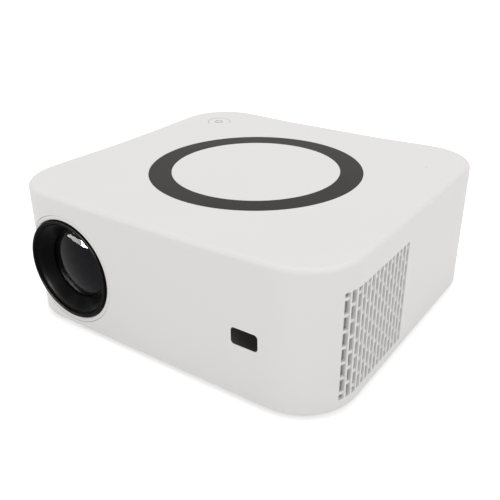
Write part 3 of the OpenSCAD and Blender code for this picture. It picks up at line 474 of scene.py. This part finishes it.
window_mid = (WINDOW_LOW + WINDOW_HIGH) / 2
tray_mid = (TRAY_LOW + TRAY_HIGH) / 2
TRAY_GAP = 0.5 * MM
FINE_GAP = 0.05 * MM
CAP_GAP = 0.3 * MM
SOFT_EDGE = 0.15 * MM
WINDOW_R = 2.2 * MM
TRAY_R = 0.4 * MM
PANEL_R = 1.0 * MM
ROOF_THROUGH = 8 * MM
openings = [
    mouth_cutter(Vector((window_mid.x, LOW.y, window_mid.z)), FRONT, RIGHT,
                 (WINDOW_HIGH.x - WINDOW_LOW.x) / 2 + FINE_GAP,
                 (WINDOW_HIGH.z - WINDOW_LOW.z) / 2 + FINE_GAP, WINDOW_R, THROUGH, SOFT_EDGE, 8),
    circle_cutter(Vector((POWER_AT.x, POWER_AT.y, roof_height(POWER_AT.x, POWER_AT.y))), UP,
                  RIGHT, POWER_R + CAP_GAP, ROOF_THROUGH, SOFT_EDGE, 72),
    circle_cutter(Vector((LIGHT_AT.x, LIGHT_AT.y, roof_height(LIGHT_AT.x, LIGHT_AT.y))), UP,
                  RIGHT, LIGHT_R + FINE_GAP, ROOF_THROUGH, FINE_GAP, 24),
    mouth_cutter(Vector((LOW.x, tray_mid.y, tray_mid.z)), LEFT, FRONT,
                 (TRAY_HIGH.y - TRAY_LOW.y) / 2 + TRAY_GAP,
                 (TRAY_HIGH.z - TRAY_LOW.z) / 2 + TRAY_GAP, TRAY_R, THROUGH, EDGE),
    mouth_cutter(Vector((MIDDLE.x, HIGH.y, (PANEL_Z[0] + PANEL_Z[1]) / 2)), BACK, LEFT,
                 PANEL_HALF, (PANEL_Z[1] - PANEL_Z[0]) / 2, PANEL_R, THROUGH, EDGE, 4),
]
cut(shell, *join_parts(openings))

# The round opening for the lens, cut from behind the wall to in front of it.
lens_turn = whole_turn(128)
HOLE_BACK, HOLE_FRONT = 12 * MM, -2 * MM
lens_hole = []
for depth in (HOLE_BACK, HOLE_FRONT):
    lens_hole.append([Vector((LENS_X + (BEZEL_R + SEAM) * math.cos(a), LOW.y + depth,
                              LENS_Z + (BEZEL_R + SEAM) * math.sin(a)))
                      for a in lens_turn])
cut(shell, *skin(lens_hole))


# Four round pillars inside the shell's corners, which the case screws go into.
def pillar(place, axis, r, length, steps=24):
    side = axis.orthogonal().normalized()
    other = axis.cross(side)
    out = []
    for at in (0, length):
        out.append([place + axis * at + (side * math.cos(a) + other * math.sin(a)) * r
                    for a in whole_turn(steps)])
    return skin(out)


COVER_Z = BASE_Z + WALL
PILLAR_REACH = 24 * MM              # from the middle of the corner's curve out to the screw
PILLAR_R = 4.5 * MM
PILLAR_H = 10 * MM
pillars = []
for sx in (-1, 1):
    for sy in (-1, 1):
        reach = PILLAR_REACH / math.hypot(HALF_W - CORNER_R, HALF_D - CORNER_R)
        place = Vector((MIDDLE.x + sx * (HALF_W - CORNER_R) * (1 + reach),
                        MIDDLE.y + sy * (HALF_D - CORNER_R) * (1 + reach), COVER_Z))
        pillars.append(pillar(place, UP, PILLAR_R, PILLAR_H))
shell_pillars = add_object("shell_pillars", *join_parts(pillars))
bpy.context.view_layer.update()


# White moulded plastic: a soft satin with the faint, uneven grain that a textured mould leaves,
# and the slightest change of tone and gloss over a hand's width.
def new_group(name, inputs, outputs):
    group = bpy.data.node_groups.new(name, "ShaderNodeTree")
    for label, kind, value in inputs:
        socket = group.interface.new_socket(name=label, in_out="INPUT", socket_type=kind)
        socket.default_value = value
    for label, kind in outputs:
        group.interface.new_socket(name=label, in_out="OUTPUT", socket_type=kind)
    return group, group.nodes.new("NodeGroupInput"), group.nodes.new("NodeGroupOutput")


def math_node(tree, operation, a, b):
    node = tree.nodes.new("ShaderNodeMath")
    node.operation = operation
    for socket, value in ((node.inputs[0], a), (node.inputs[1], b)):
        if isinstance(value, (int, float)):
            socket.default_value = value
        else:
            link(tree, value, socket)
    return node.outputs[0]


moulded, gin, gout = new_group(
    "moulded_surface",
    [("Color", "NodeSocketColor", (0.8, 0.8, 0.8, 1)), ("Roughness", "NodeSocketFloat", 0.4),
     ("Grain Size", "NodeSocketFloat", 0.4), ("Tone Change", "NodeSocketFloat", 0.02),
     ("Gloss Change", "NodeSocketFloat", 0.05)],
    [("Color", "NodeSocketColor"), ("Roughness", "NodeSocketFloat"), ("Grain", "NodeSocketFloat")])
where = moulded.nodes.new("ShaderNodeTexCoord")
grain_scale = math_node(moulded, "DIVIDE", 1000.0, gin.outputs["Grain Size"])
grain = moulded.nodes.new("ShaderNodeTexNoise")
grain.inputs["Detail"].default_value = 3.0
link(moulded, where.outputs["Object"], grain.inputs["Vector"])
link(moulded, grain_scale, grain.inputs["Scale"])
cloud = moulded.nodes.new("ShaderNodeTexNoise")
cloud.inputs["Scale"].default_value = 14.0
cloud.inputs["Detail"].default_value = 4.0
link(moulded, where.outputs["Object"], cloud.inputs["Vector"])
swing = math_node(moulded, "SUBTRACT", cloud.outputs["Fac"], 0.5)
tone = math_node(moulded, "ADD", 1.0,
                 math_node(moulded, "MULTIPLY", swing, gin.outputs["Tone Change"]))
tint = moulded.nodes.new("ShaderNodeVectorMath")
tint.operation = "SCALE"
link(moulded, gin.outputs["Color"], tint.inputs[0])
link(moulded, tone, tint.inputs["Scale"])
link(moulded, tint.outputs["Vector"], gout.inputs["Color"])
gloss = math_node(moulded, "ADD", gin.outputs["Roughness"],
                  math_node(moulded, "MULTIPLY", swing, gin.outputs["Gloss Change"]))
link(moulded, gloss, gout.inputs["Roughness"])
link(moulded, grain.outputs["Fac"], gout.inputs["Grain"])


def moulded_plastic(name, color, roughness, grain_mm=0.35, depth_mm=0.01, tone_change=0.03,
                    gloss_change=0.08, specular=0.5):
    """Plastic from a mould: its colour, gloss and grain vary a little over the surface."""
    material, tree = new_material(name)
    group = tree.nodes.new("ShaderNodeGroup")
    group.node_tree = moulded
    group.inputs["Color"].default_value = (*color, 1)
    group.inputs["Roughness"].default_value = roughness
    group.inputs["Grain Size"].default_value = grain_mm
    group.inputs["Tone Change"].default_value = tone_change
    group.inputs["Gloss Change"].default_value = gloss_change
    bump = tree.nodes.new("ShaderNodeBump")
    bump.inputs["Strength"].default_value = 1.0
    bump.inputs["Distance"].default_value = depth_mm * MM
    link(tree, group.outputs["Grain"], bump.inputs["Height"])
    shader = tree.nodes.new("ShaderNodeBsdfPrincipled")
    shader.inputs["IOR"].default_value = 1.49
    shader.inputs["Specular IOR Level"].default_value = specular
    link(tree, group.outputs["Color"], shader.inputs["Base Color"])
    link(tree, group.outputs["Roughness"], shader.inputs["Roughness"])
    link(tree, bump.outputs["Normal"], shader.inputs["Normal"])
    out = tree.nodes.new("ShaderNodeOutputMaterial")
    link(tree, shader.outputs[0], out.inputs["Surface"])
    return material


def dress(piece, material):
    piece.data.materials.clear()
    piece.data.materials.append(material)


def dress_nodes(material, *nodes):
    """Gives CAD pieces that keep their own shape a finish."""
    for node in nodes:
        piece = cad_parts[node]
        if not piece.material_slots:
            piece.data.materials.append(material)
        for slot in piece.material_slots:
            slot.link = "OBJECT"
            slot.material = material


def place_on(piece, body, slot_name, *nodes):
    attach(piece, body)
    if nodes:
        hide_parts(*nodes)


WHITE = (0.79, 0.774, 0.766)
white_shell = moulded_plastic("white_shell", WHITE, 0.42)
dress(shell, white_shell)
dress(shell_pillars, white_shell)
round_off(shell)
round_off(shell_pillars)
place_on(shell, "projector", "white_shell", "upper_shell")
place_on(shell_pillars, "projector", "white_shell")


# ---------------------------------------------------------------------------------------------
# Ring inlay. A flat ring of dark grey satin plastic, glued into a groove in the dish, with a
# fine bevel on both edges. It is trim and doesn't move.
ring_turn = whole_turn(192)
ring_gap = 0.05 * MM
bevel = 0.12 * MM
ring_loops = []
for r, drop in ((RING_IN + ring_gap, RING_T), (RING_IN + ring_gap, bevel),
                (RING_IN + ring_gap + bevel, 0), (RING_OUT - ring_gap - bevel, 0),
                (RING_OUT - ring_gap, bevel), (RING_OUT - ring_gap, RING_T),
                (RING_IN + ring_gap, RING_T)):
    ring_loops.append([Vector((p.x, p.y, TOP_Z - DISH_DROP - drop))
                       for p in round_points(r, ring_turn)])
ring_inlay = add_object("dark_ring", *skin(ring_loops, False, False))
dark_ring = moulded_plastic("dark_ring", (0.026, 0.0215, 0.020), 0.5, 0.3, 0.006, specular=0.12)
dress(ring_inlay, dark_ring)
round_off(ring_inlay)
place_on(ring_inlay, "projector", "dark_ring", "ring_inlay")


# ---------------------------------------------------------------------------------------------
# Power button. A round white cap that follows the slope of the roof, with a fine seam round it
# and a small printed power mark. It is pressed straight down onto a dome switch.
CAP_STEPS = 72
CAP_EDGE = 0.35 * MM
CAP_STEM_R = 2 * MM
CAP_TOP_RADII = (6.5, 4.5, 2.5, 0.8)
CAP_FLANGE_R = POWER_R + 1.2 * MM
FLANGE_Z = (ROOF_Z - 1.3 * MM, ROOF_Z - 0.3 * MM)


def cap_ring(r, z=None, drop=0.0):
    """A circle round the cap's axis, at height z or that far below the roof."""
    out = []
    for a in whole_turn(CAP_STEPS):
        x, y = POWER_AT.x + r * math.cos(a), POWER_AT.y + r * math.sin(a)
        out.append(Vector((x, y, roof_height(x, y) - drop if z is None else z)))
    return out


cap_loops = [cap_ring(CAP_STEM_R, POWER_LOW.z), cap_ring(CAP_STEM_R, FLANGE_Z[0]),
             cap_ring(CAP_FLANGE_R, FLANGE_Z[0]), cap_ring(CAP_FLANGE_R, FLANGE_Z[1]),
             cap_ring(POWER_R, FLANGE_Z[1]), cap_ring(POWER_R, drop=CAP_EDGE)]
for k in range(1, 5):
    a = math.radians(90 * k / 4)
    cap_loops.append(cap_ring(POWER_R - CAP_EDGE * (1 - math.cos(a)),
                              drop=CAP_EDGE * (1 - math.sin(a))))
for r in CAP_TOP_RADII:
    cap_loops.append(cap_ring(r * MM))
power_cap = add_object("power_cap", *skin(cap_loops))
dress(power_cap, white_shell)
round_off(power_cap)
place_on(power_cap, "power_button", "white_shell", "power_button")

MARK_R = 2.75 * MM
MARK_W = 0.62 * MM
MARK_T = 0.03 * MM
MARK_GAP = math.radians(38)
MARK_STEPS = 36
MARK_BAR = (0.3, 1.6, 3.2)          # mm from the middle of the mark


def mark_strip(points):
    """A thin raised line on the cap that follows the points."""
    loops = []
    for k, p in enumerate(points):
        before, after = points[max(k - 1, 0)], points[min(k + 1, len(points) - 1)]
        side = (after - before).orthogonal().normalized() * MARK_W / 2
        corners = []
        for shift, lift in ((-1, -MARK_T), (1, -MARK_T), (1, MARK_T), (-1, MARK_T)):
            q = p + side * shift
            corners.append(Vector((q.x, q.y, roof_height(q.x, q.y) + lift)))
        loops.append(corners)
    return skin(loops)


mark_middle = Vector((POWER_AT.x, POWER_AT.y))
arc_turns = [MARK_GAP + (2 * math.pi - 2 * MARK_GAP) * i / MARK_STEPS
             for i in range(MARK_STEPS + 1)]
arc = [mark_middle + MARK_R * Vector((math.sin(a), math.cos(a))) for a in arc_turns]
bar = [mark_middle + Vector((0, y * MM)) for y in MARK_BAR]
power_mark = add_object("power_mark", *join_parts([mark_strip(arc), mark_strip(bar)]))
grey_print = moulded_plastic("grey_print", (0.06, 0.065, 0.06), 0.5, 0.2, 0.002)
dress(power_mark, grey_print)
place_on(power_mark, "power_button", "dark_ring")


# ---------------------------------------------------------------------------------------------
# Lens bezel. A thin white ring pressed into the front. It follows the curve of the corner, and
# a fine groove runs along its middle.
FRONT_Y = LOW.y
BEZEL_IN = 32.8 * MM
BEZEL_BACK = BEZEL_HIGH.y
BEZEL_EDGE = 0.3 * MM               # bevel round the outside and round the bore
FINE_GROOVE_IN = 1.2 * MM           # from the outer edge to the groove
FINE_GROOVE_T = 0.2 * MM
GROOVE_WALL = 0.15 * MM             # width of its floor, and of the slope on either side


def face_depth(x):
    """How far the body's outside lies behind the front plane at x, left of the middle."""
    curve = LOW.x + CORNER_R - x
    if curve <= 0:
        return 0.0
    return CORNER_R - math.sqrt(CORNER_R ** 2 - curve ** 2)


def on_face(r, drop):
    """A circle round the lens axis that follows the body's outside, drop behind it."""
    out = []
    for a in lens_turn:
        x = LENS_X + r * math.cos(a)
        out.append(Vector((x, FRONT_Y + face_depth(x) + drop, LENS_Z + r * math.sin(a))))
    return out


def flat_ring(r, y):
    return [Vector((LENS_X + r * math.cos(a), y, LENS_Z + r * math.sin(a))) for a in lens_turn]


# From the back over the outer edge, across the face, which falls a little towards the bore, and
# back down the bore.
groove_r = BEZEL_R - FINE_GROOVE_IN
bezel_loops = [flat_ring(BEZEL_R, BEZEL_BACK), on_face(BEZEL_R, BEZEL_EDGE),
               on_face(BEZEL_R - BEZEL_EDGE, 0.0), on_face(groove_r, 0.0),
               on_face(groove_r - GROOVE_WALL, FINE_GROOVE_T),
               on_face(groove_r - 2 * GROOVE_WALL, FINE_GROOVE_T),
               on_face(groove_r - 3 * GROOVE_WALL, 0.05 * MM),
               on_face(BEZEL_IN + BEZEL_EDGE, 0.2 * MM), on_face(BEZEL_IN, 0.5 * MM),
               flat_ring(BEZEL_IN, BEZEL_BACK), flat_ring(BEZEL_R, BEZEL_BACK)]
lens_ring = add_object("lens_ring", *skin(bezel_loops, False, False))
dress(lens_ring, white_shell)
round_off(lens_ring)
place_on(lens_ring, "projector", "white_shell", "lens_bezel")


# ---------------------------------------------------------------------------------------------
# Focus barrel. Black moulded plastic with a rounded lip, a shallow step and a smooth bowl that
# narrows to the glass. The rim is turned by hand, which moves the whole lens in or out.
def lathe_y(profile):
    """Turns (radius, depth) pairs, in mm, round the lens axis."""
    return [flat_ring(r * MM, FRONT_Y + t * MM) for r, t in profile]


def arc_profile(middle_r, middle_t, r, start, end, steps):
    """Pairs along an arc of radius r from the start angle to the end angle."""
    return [(middle_r + r * math.cos(math.radians(start + (end - start) * k / steps)),
             middle_t + r * math.sin(math.radians(start + (end - start) * k / steps)))
            for k in range(steps + 1)]


# Sizes in mm, with depths from the front face back.
RIM_R, RIM_PROUD = 32.4, 0.8
SHOULDER = 11.7                     # where the rim steps down to the tube
TUBE_R, TUBE_BACK = 26.0, 29.8
LIP_R, LIP_FLAT = 0.9, 0.6
STEP = [(29.6, 0.35), (29.35, 0.8)]
MOUTH_R, MOUTH_T = 29.1, 1.0
BOWL_FOOT_R, BOWL_FOOT_T = 21.8, 7.3
BOWL_STEPS, BOWL_CURVE = 8, 1.15
SEAT_R, SEAT_FRONT, SEAT_BACK = 21.56, 7.6, 11.0
BORE_R = 20.0
REAR_SEAT_R, REAR_SEAT_T = 21.7, 23.5
tube = [(REAR_SEAT_R, TUBE_BACK), (TUBE_R, TUBE_BACK), (TUBE_R, SHOULDER), (RIM_R, SHOULDER)]
lip_t = LIP_R - RIM_PROUD
lip_profile = (arc_profile(RIM_R - LIP_R, lip_t, LIP_R, 0, -90, 6)
               + arc_profile(RIM_R - LIP_R - LIP_FLAT, lip_t, LIP_R, -90, -150, 4))
bowl = [(MOUTH_R - (MOUTH_R - BOWL_FOOT_R) * k / BOWL_STEPS,
         MOUTH_T + (BOWL_FOOT_T - MOUTH_T) * (k / BOWL_STEPS) ** BOWL_CURVE)
        for k in range(BOWL_STEPS + 1)]
bore = [(SEAT_R, SEAT_FRONT), (SEAT_R, SEAT_BACK), (BORE_R, SEAT_BACK), (BORE_R, REAR_SEAT_T),
        (REAR_SEAT_R, REAR_SEAT_T), (REAR_SEAT_R, TUBE_BACK)]
barrel_profile = tube + lip_profile + STEP + bowl + bore
barrel = add_object("focus_rim", *skin(lathe_y(barrel_profile), False, False))
black_rim = moulded_plastic("black_rim", (0.002, 0.002, 0.002), 0.26, 0.3, 0.004, specular=0.03)
dress(barrel, black_rim)
round_off(barrel)
place_on(barrel, "focus_barrel", "black_rim", "focus_barrel")
lens_lights.objects.link(barrel)


# ---------------------------------------------------------------------------------------------
# Front glass. A ground lens that the barrel holds at the foot of the bowl. Its coating takes most
# of the reflection away, which the low index here stands for. The glass's dark violet colour is
# painted: it stands in for the coating's violet reflection and for the shade inside the lens.
smudged, gin, gout = new_group("smudged_glass", [("Roughness", "NodeSocketFloat", 0.015)],
                               [("Roughness", "NodeSocketFloat")])
smudge = smudged.nodes.new("ShaderNodeTexNoise")
smudge.inputs["Scale"].default_value = 60.0
spread = smudged.nodes.new("ShaderNodeMapRange")
link(smudged, smudge.outputs["Fac"], spread.inputs["Value"])
link(smudged, gin.outputs["Roughness"], spread.inputs["To Min"])
link(smudged, math_node(smudged, "MULTIPLY", gin.outputs["Roughness"], 1.8),
     spread.inputs["To Max"])
link(smudged, spread.outputs[0], gout.inputs["Roughness"])


def glass_material(name, tint, ior=1.52):
    """Clear glass with faint smudges."""
    material, tree = new_material(name)
    group = tree.nodes.new("ShaderNodeGroup")
    group.node_tree = smudged
    shader = tree.nodes.new("ShaderNodeBsdfPrincipled")
    link(tree, group.outputs["Roughness"], shader.inputs["Roughness"])
    shader.inputs["Base Color"].default_value = (*tint, 1)
    shader.inputs["Transmission Weight"].default_value = 1.0
    shader.inputs["IOR"].default_value = ior
    out = tree.nodes.new("ShaderNodeOutputMaterial")
    link(tree, shader.outputs[0], out.inputs["Surface"])
    return material


GLASS_R = 21.5
GLASS_EDGE = 8.0
GLASS_BULGE = 4.0
GLASS_BACK = SEAT_BACK
GLASS_STEPS = 16
POLE = 0.4                          # degrees; the last ring stays this far open
ball = (GLASS_R ** 2 + GLASS_BULGE ** 2) / (2 * GLASS_BULGE)
half_angle = math.degrees(math.asin(GLASS_R / ball))
glass_profile = [(GLASS_R, GLASS_BACK)]
for k in range(GLASS_STEPS + 1):
    a = math.radians(half_angle * (1 - k / GLASS_STEPS) + POLE)
    glass_profile.append((min(GLASS_R, ball * math.sin(a)),
                          GLASS_EDGE - GLASS_BULGE + ball * (1 - math.cos(a))))
front_glass = add_object("front_lens", *skin(lathe_y(glass_profile)))
# Painted reflection and shade: the dark violet tint stands in for the coating's violet reflection
# and the shade inside the lens.
coated_glass_painted_cast = glass_material("coated_glass_painted_cast", (0.05, 0.035, 0.075), ior=1.19)
dress(front_glass, coated_glass_painted_cast)
round_off(front_glass)
place_on(front_glass, "focus_barrel", "optical_glass", "front_glass")
lens_lights.objects.link(front_glass)


# ---------------------------------------------------------------------------------------------
# Remote window. A small polished near-black plate with round corners and a fine bevel. It is
# moulded from plastic that lets the remote's light through, and pressed in flush with the front.
PANE_R = 2.15 * MM
pane_loops = []
half_w = (WINDOW_HIGH.x - WINDOW_LOW.x) / 2
half_h = (WINDOW_HIGH.z - WINDOW_LOW.z) / 2
for depth, grow in ((WALL, 0), (0.35 * MM, 0), (0.17 * MM, -0.05 * MM), (0.1 * MM, -0.2 * MM)):
    pane_loops.append([Vector((window_mid.x + u, FRONT_Y + depth, window_mid.z + v))
                       for u, v in rounded_box_points(half_w + grow, half_h + grow,
                                                      PANE_R + grow, 8)])
remote_window = add_object("remote_window", *skin(pane_loops))
window_black = moulded_plastic("window_black", (0.004, 0.004, 0.0042), 0.2, 0.5, 0.0005,
                               specular=0.09)
dress(remote_window, window_black)
round_off(remote_window)
place_on(remote_window, "projector", "ir_black", "ir_window")


# ---------------------------------------------------------------------------------------------
# The covers, boards, disc drive, optics, fan, speakers, feet and screws. They are simple pieces of
# plastic, sheet metal, turned metal, glass and rubber, so each keeps the solid's own shape and
# only gets its finish here.
cover_grey = moulded_plastic("cover_grey", (0.70, 0.695, 0.69), 0.5)
button_grey = moulded_plastic("button_grey", (0.6, 0.6, 0.6), 0.45)
inner_black = moulded_plastic("inner_black", (0.025, 0.025, 0.027), 0.5, 0.4, 0.01)
clear_pipe = moulded_plastic("clear_pipe", (0.72, 0.76, 0.8), 0.2, 0.4, 0.001)
black_rubber = moulded_plastic("black_rubber", (0.02, 0.02, 0.02), 0.78, 0.25, 0.02)
board_green = moulded_plastic("board_green", (0.02, 0.11, 0.045), 0.38, 0.8, 0.01, 0.3)
filter_foam = moulded_plastic("filter_foam", (0.035, 0.035, 0.037), 0.95, 1.1, 0.4, 0.8)
speaker_black = moulded_plastic("speaker_black", (0.02, 0.02, 0.02), 0.55, 0.5, 0.02)
optical_sheet = moulded_plastic("optical_sheet", (0.6, 0.65, 0.68), 0.25, 0.5, 0.003)
clear_glass = glass_material("clear_glass", (0.9, 0.94, 0.97))


GAP_SHADE = 0.55


def woven(name, thread, pitch_mm):
    """Fabric net: threads cross at right angles, with darker gaps between them."""
    material, tree = new_material(name)
    where = tree.nodes.new("ShaderNodeTexCoord")
    waves = []
    for direction in ("Y", "Z"):
        wave = tree.nodes.new("ShaderNodeTexWave")
        wave.bands_direction = direction
        wave.inputs["Scale"].default_value = 2 * math.pi / (20 * pitch_mm * MM)
        wave.inputs["Distortion"].default_value = 0.4
        link(tree, where.outputs["Object"], wave.inputs["Vector"])
        waves.append(wave.outputs["Fac"])
    height = math_node(tree, "MAXIMUM", *waves)
    shade = tree.nodes.new("ShaderNodeMix")
    shade.data_type = "RGBA"
    gap = [GAP_SHADE * c for c in thread]
    shade.inputs[6].default_value = (*gap, 1)       # the mix node's first colour
    shade.inputs[7].default_value = (*thread, 1)    # and its second
    link(tree, height, shade.inputs[0])
    bump = tree.nodes.new("ShaderNodeBump")
    bump.inputs["Distance"].default_value = 0.1 * MM
    link(tree, height, bump.inputs["Height"])
    shader = tree.nodes.new("ShaderNodeBsdfPrincipled")
    shader.inputs["Roughness"].default_value = 0.85
    link(tree, shade.outputs[2], shader.inputs["Base Color"])
    link(tree, bump.outputs["Normal"], shader.inputs["Normal"])
    out = tree.nodes.new("ShaderNodeOutputMaterial")
    link(tree, shader.outputs[0], out.inputs["Surface"])
    return material


# Bare metal: fine streaks change its gloss and stand up a little.
streaked, gin, gout = new_group(
    "streaked_surface",
    [("Streak", "NodeSocketVector", (1, 1, 1)), ("Roughness", "NodeSocketFloat", 0.4),
     ("Gloss Change", "NodeSocketFloat", 0.12)],
    [("Roughness", "NodeSocketFloat"), ("Height", "NodeSocketFloat")])
where = streaked.nodes.new("ShaderNodeTexCoord")
stretch = streaked.nodes.new("ShaderNodeMapping")
link(streaked, where.outputs["Object"], stretch.inputs["Vector"])
link(streaked, gin.outputs["Streak"], stretch.inputs["Scale"])
lines = streaked.nodes.new("ShaderNodeTexNoise")
lines.inputs["Scale"].default_value = 400.0
lines.inputs["Detail"].default_value = 3.0
link(streaked, stretch.outputs[0], lines.inputs["Vector"])
rough = streaked.nodes.new("ShaderNodeMapRange")
for limit, operation in (("To Min", "SUBTRACT"), ("To Max", "ADD")):
    limit_value = math_node(streaked, operation, gin.outputs["Roughness"],
                            gin.outputs["Gloss Change"])
    link(streaked, limit_value, rough.inputs[limit])
link(streaked, lines.outputs["Fac"], rough.inputs["Value"])
link(streaked, rough.outputs[0], gout.inputs["Roughness"])
link(streaked, lines.outputs["Fac"], gout.inputs["Height"])


def metal(name, color, roughness, streak=(1, 1, 1)):
    """Bare metal with fine streaks; streak stretches them along one axis."""
    material, tree = new_material(name)
    group = tree.nodes.new("ShaderNodeGroup")
    group.node_tree = streaked
    group.inputs["Streak"].default_value = streak
    group.inputs["Roughness"].default_value = roughness
    bump = tree.nodes.new("ShaderNodeBump")
    bump.inputs["Distance"].default_value = 0.004 * MM
    link(tree, group.outputs["Height"], bump.inputs["Height"])
    shader = tree.nodes.new("ShaderNodeBsdfPrincipled")
    shader.inputs["Base Color"].default_value = (*color, 1)
    shader.inputs["Metallic"].default_value = 1.0
    link(tree, group.outputs["Roughness"], shader.inputs["Roughness"])
    link(tree, bump.outputs["Normal"], shader.inputs["Normal"])
    out = tree.nodes.new("ShaderNodeOutputMaterial")
    link(tree, shader.outputs[0], out.inputs["Surface"])
    return material


net_cloth = woven("net_cloth", (0.42, 0.42, 0.43), 0.8)
zinc_sheet = metal("zinc_sheet", (0.62, 0.63, 0.65), 0.38, (1, 12, 12))
ground_steel = metal("ground_steel", (0.66, 0.66, 0.68), 0.25)
aluminium = metal("aluminium", (0.75, 0.76, 0.78), 0.4, (12, 1, 1))
brass = metal("brass", (0.72, 0.53, 0.24), 0.28)
silvered = metal("silvered", (0.9, 0.9, 0.92), 0.14)

dress_nodes(cover_grey, "bottom_cover", "rear_panel")
dress_nodes(white_shell, "tray_bezel")
dress_nodes(button_grey, "eject_button")
dress_nodes(inner_black, "lens_holder", "engine_housing", "engine_lid", "fan_frame", "fan_rotor",
            "disc_tray", "turntable_hub", "ac_inlet", "audio_jacks")
dress_nodes(clear_pipe, "status_light")
dress_nodes(black_rubber, "rubber_feet", "foot_tip")
dress_nodes(board_green, "main_board", "power_board", "button_board", "ir_receiver")
dress_nodes(filter_foam, "dust_filter")
dress_nodes(net_cloth, "vent_net")
dress_nodes(speaker_black, "speaker_frames", "speaker_cones")
dress_nodes(optical_sheet, "field_lens", "collimator_lens")
dress_nodes(clear_glass, "rear_lens", "condenser_lens", "heat_glass", "lcd_panel")
dress_nodes(zinc_sheet, "drive_deck", "drive_chassis", "drive_cover", "slide_rails",
            "spindle_motor", "sled_motor", "hdmi_socket", "usb_sockets", "barrel_retainer")
dress_nodes(ground_steel, "guide_rods", "lead_screw", "case_screws", "foot_stud")
dress_nodes(aluminium, "heat_sink", "led_module", "focus_carriage", "pickup_sled")
dress_nodes(brass, "foot_insert", "tripod_insert")
dress_nodes(silvered, "fold_mirror")
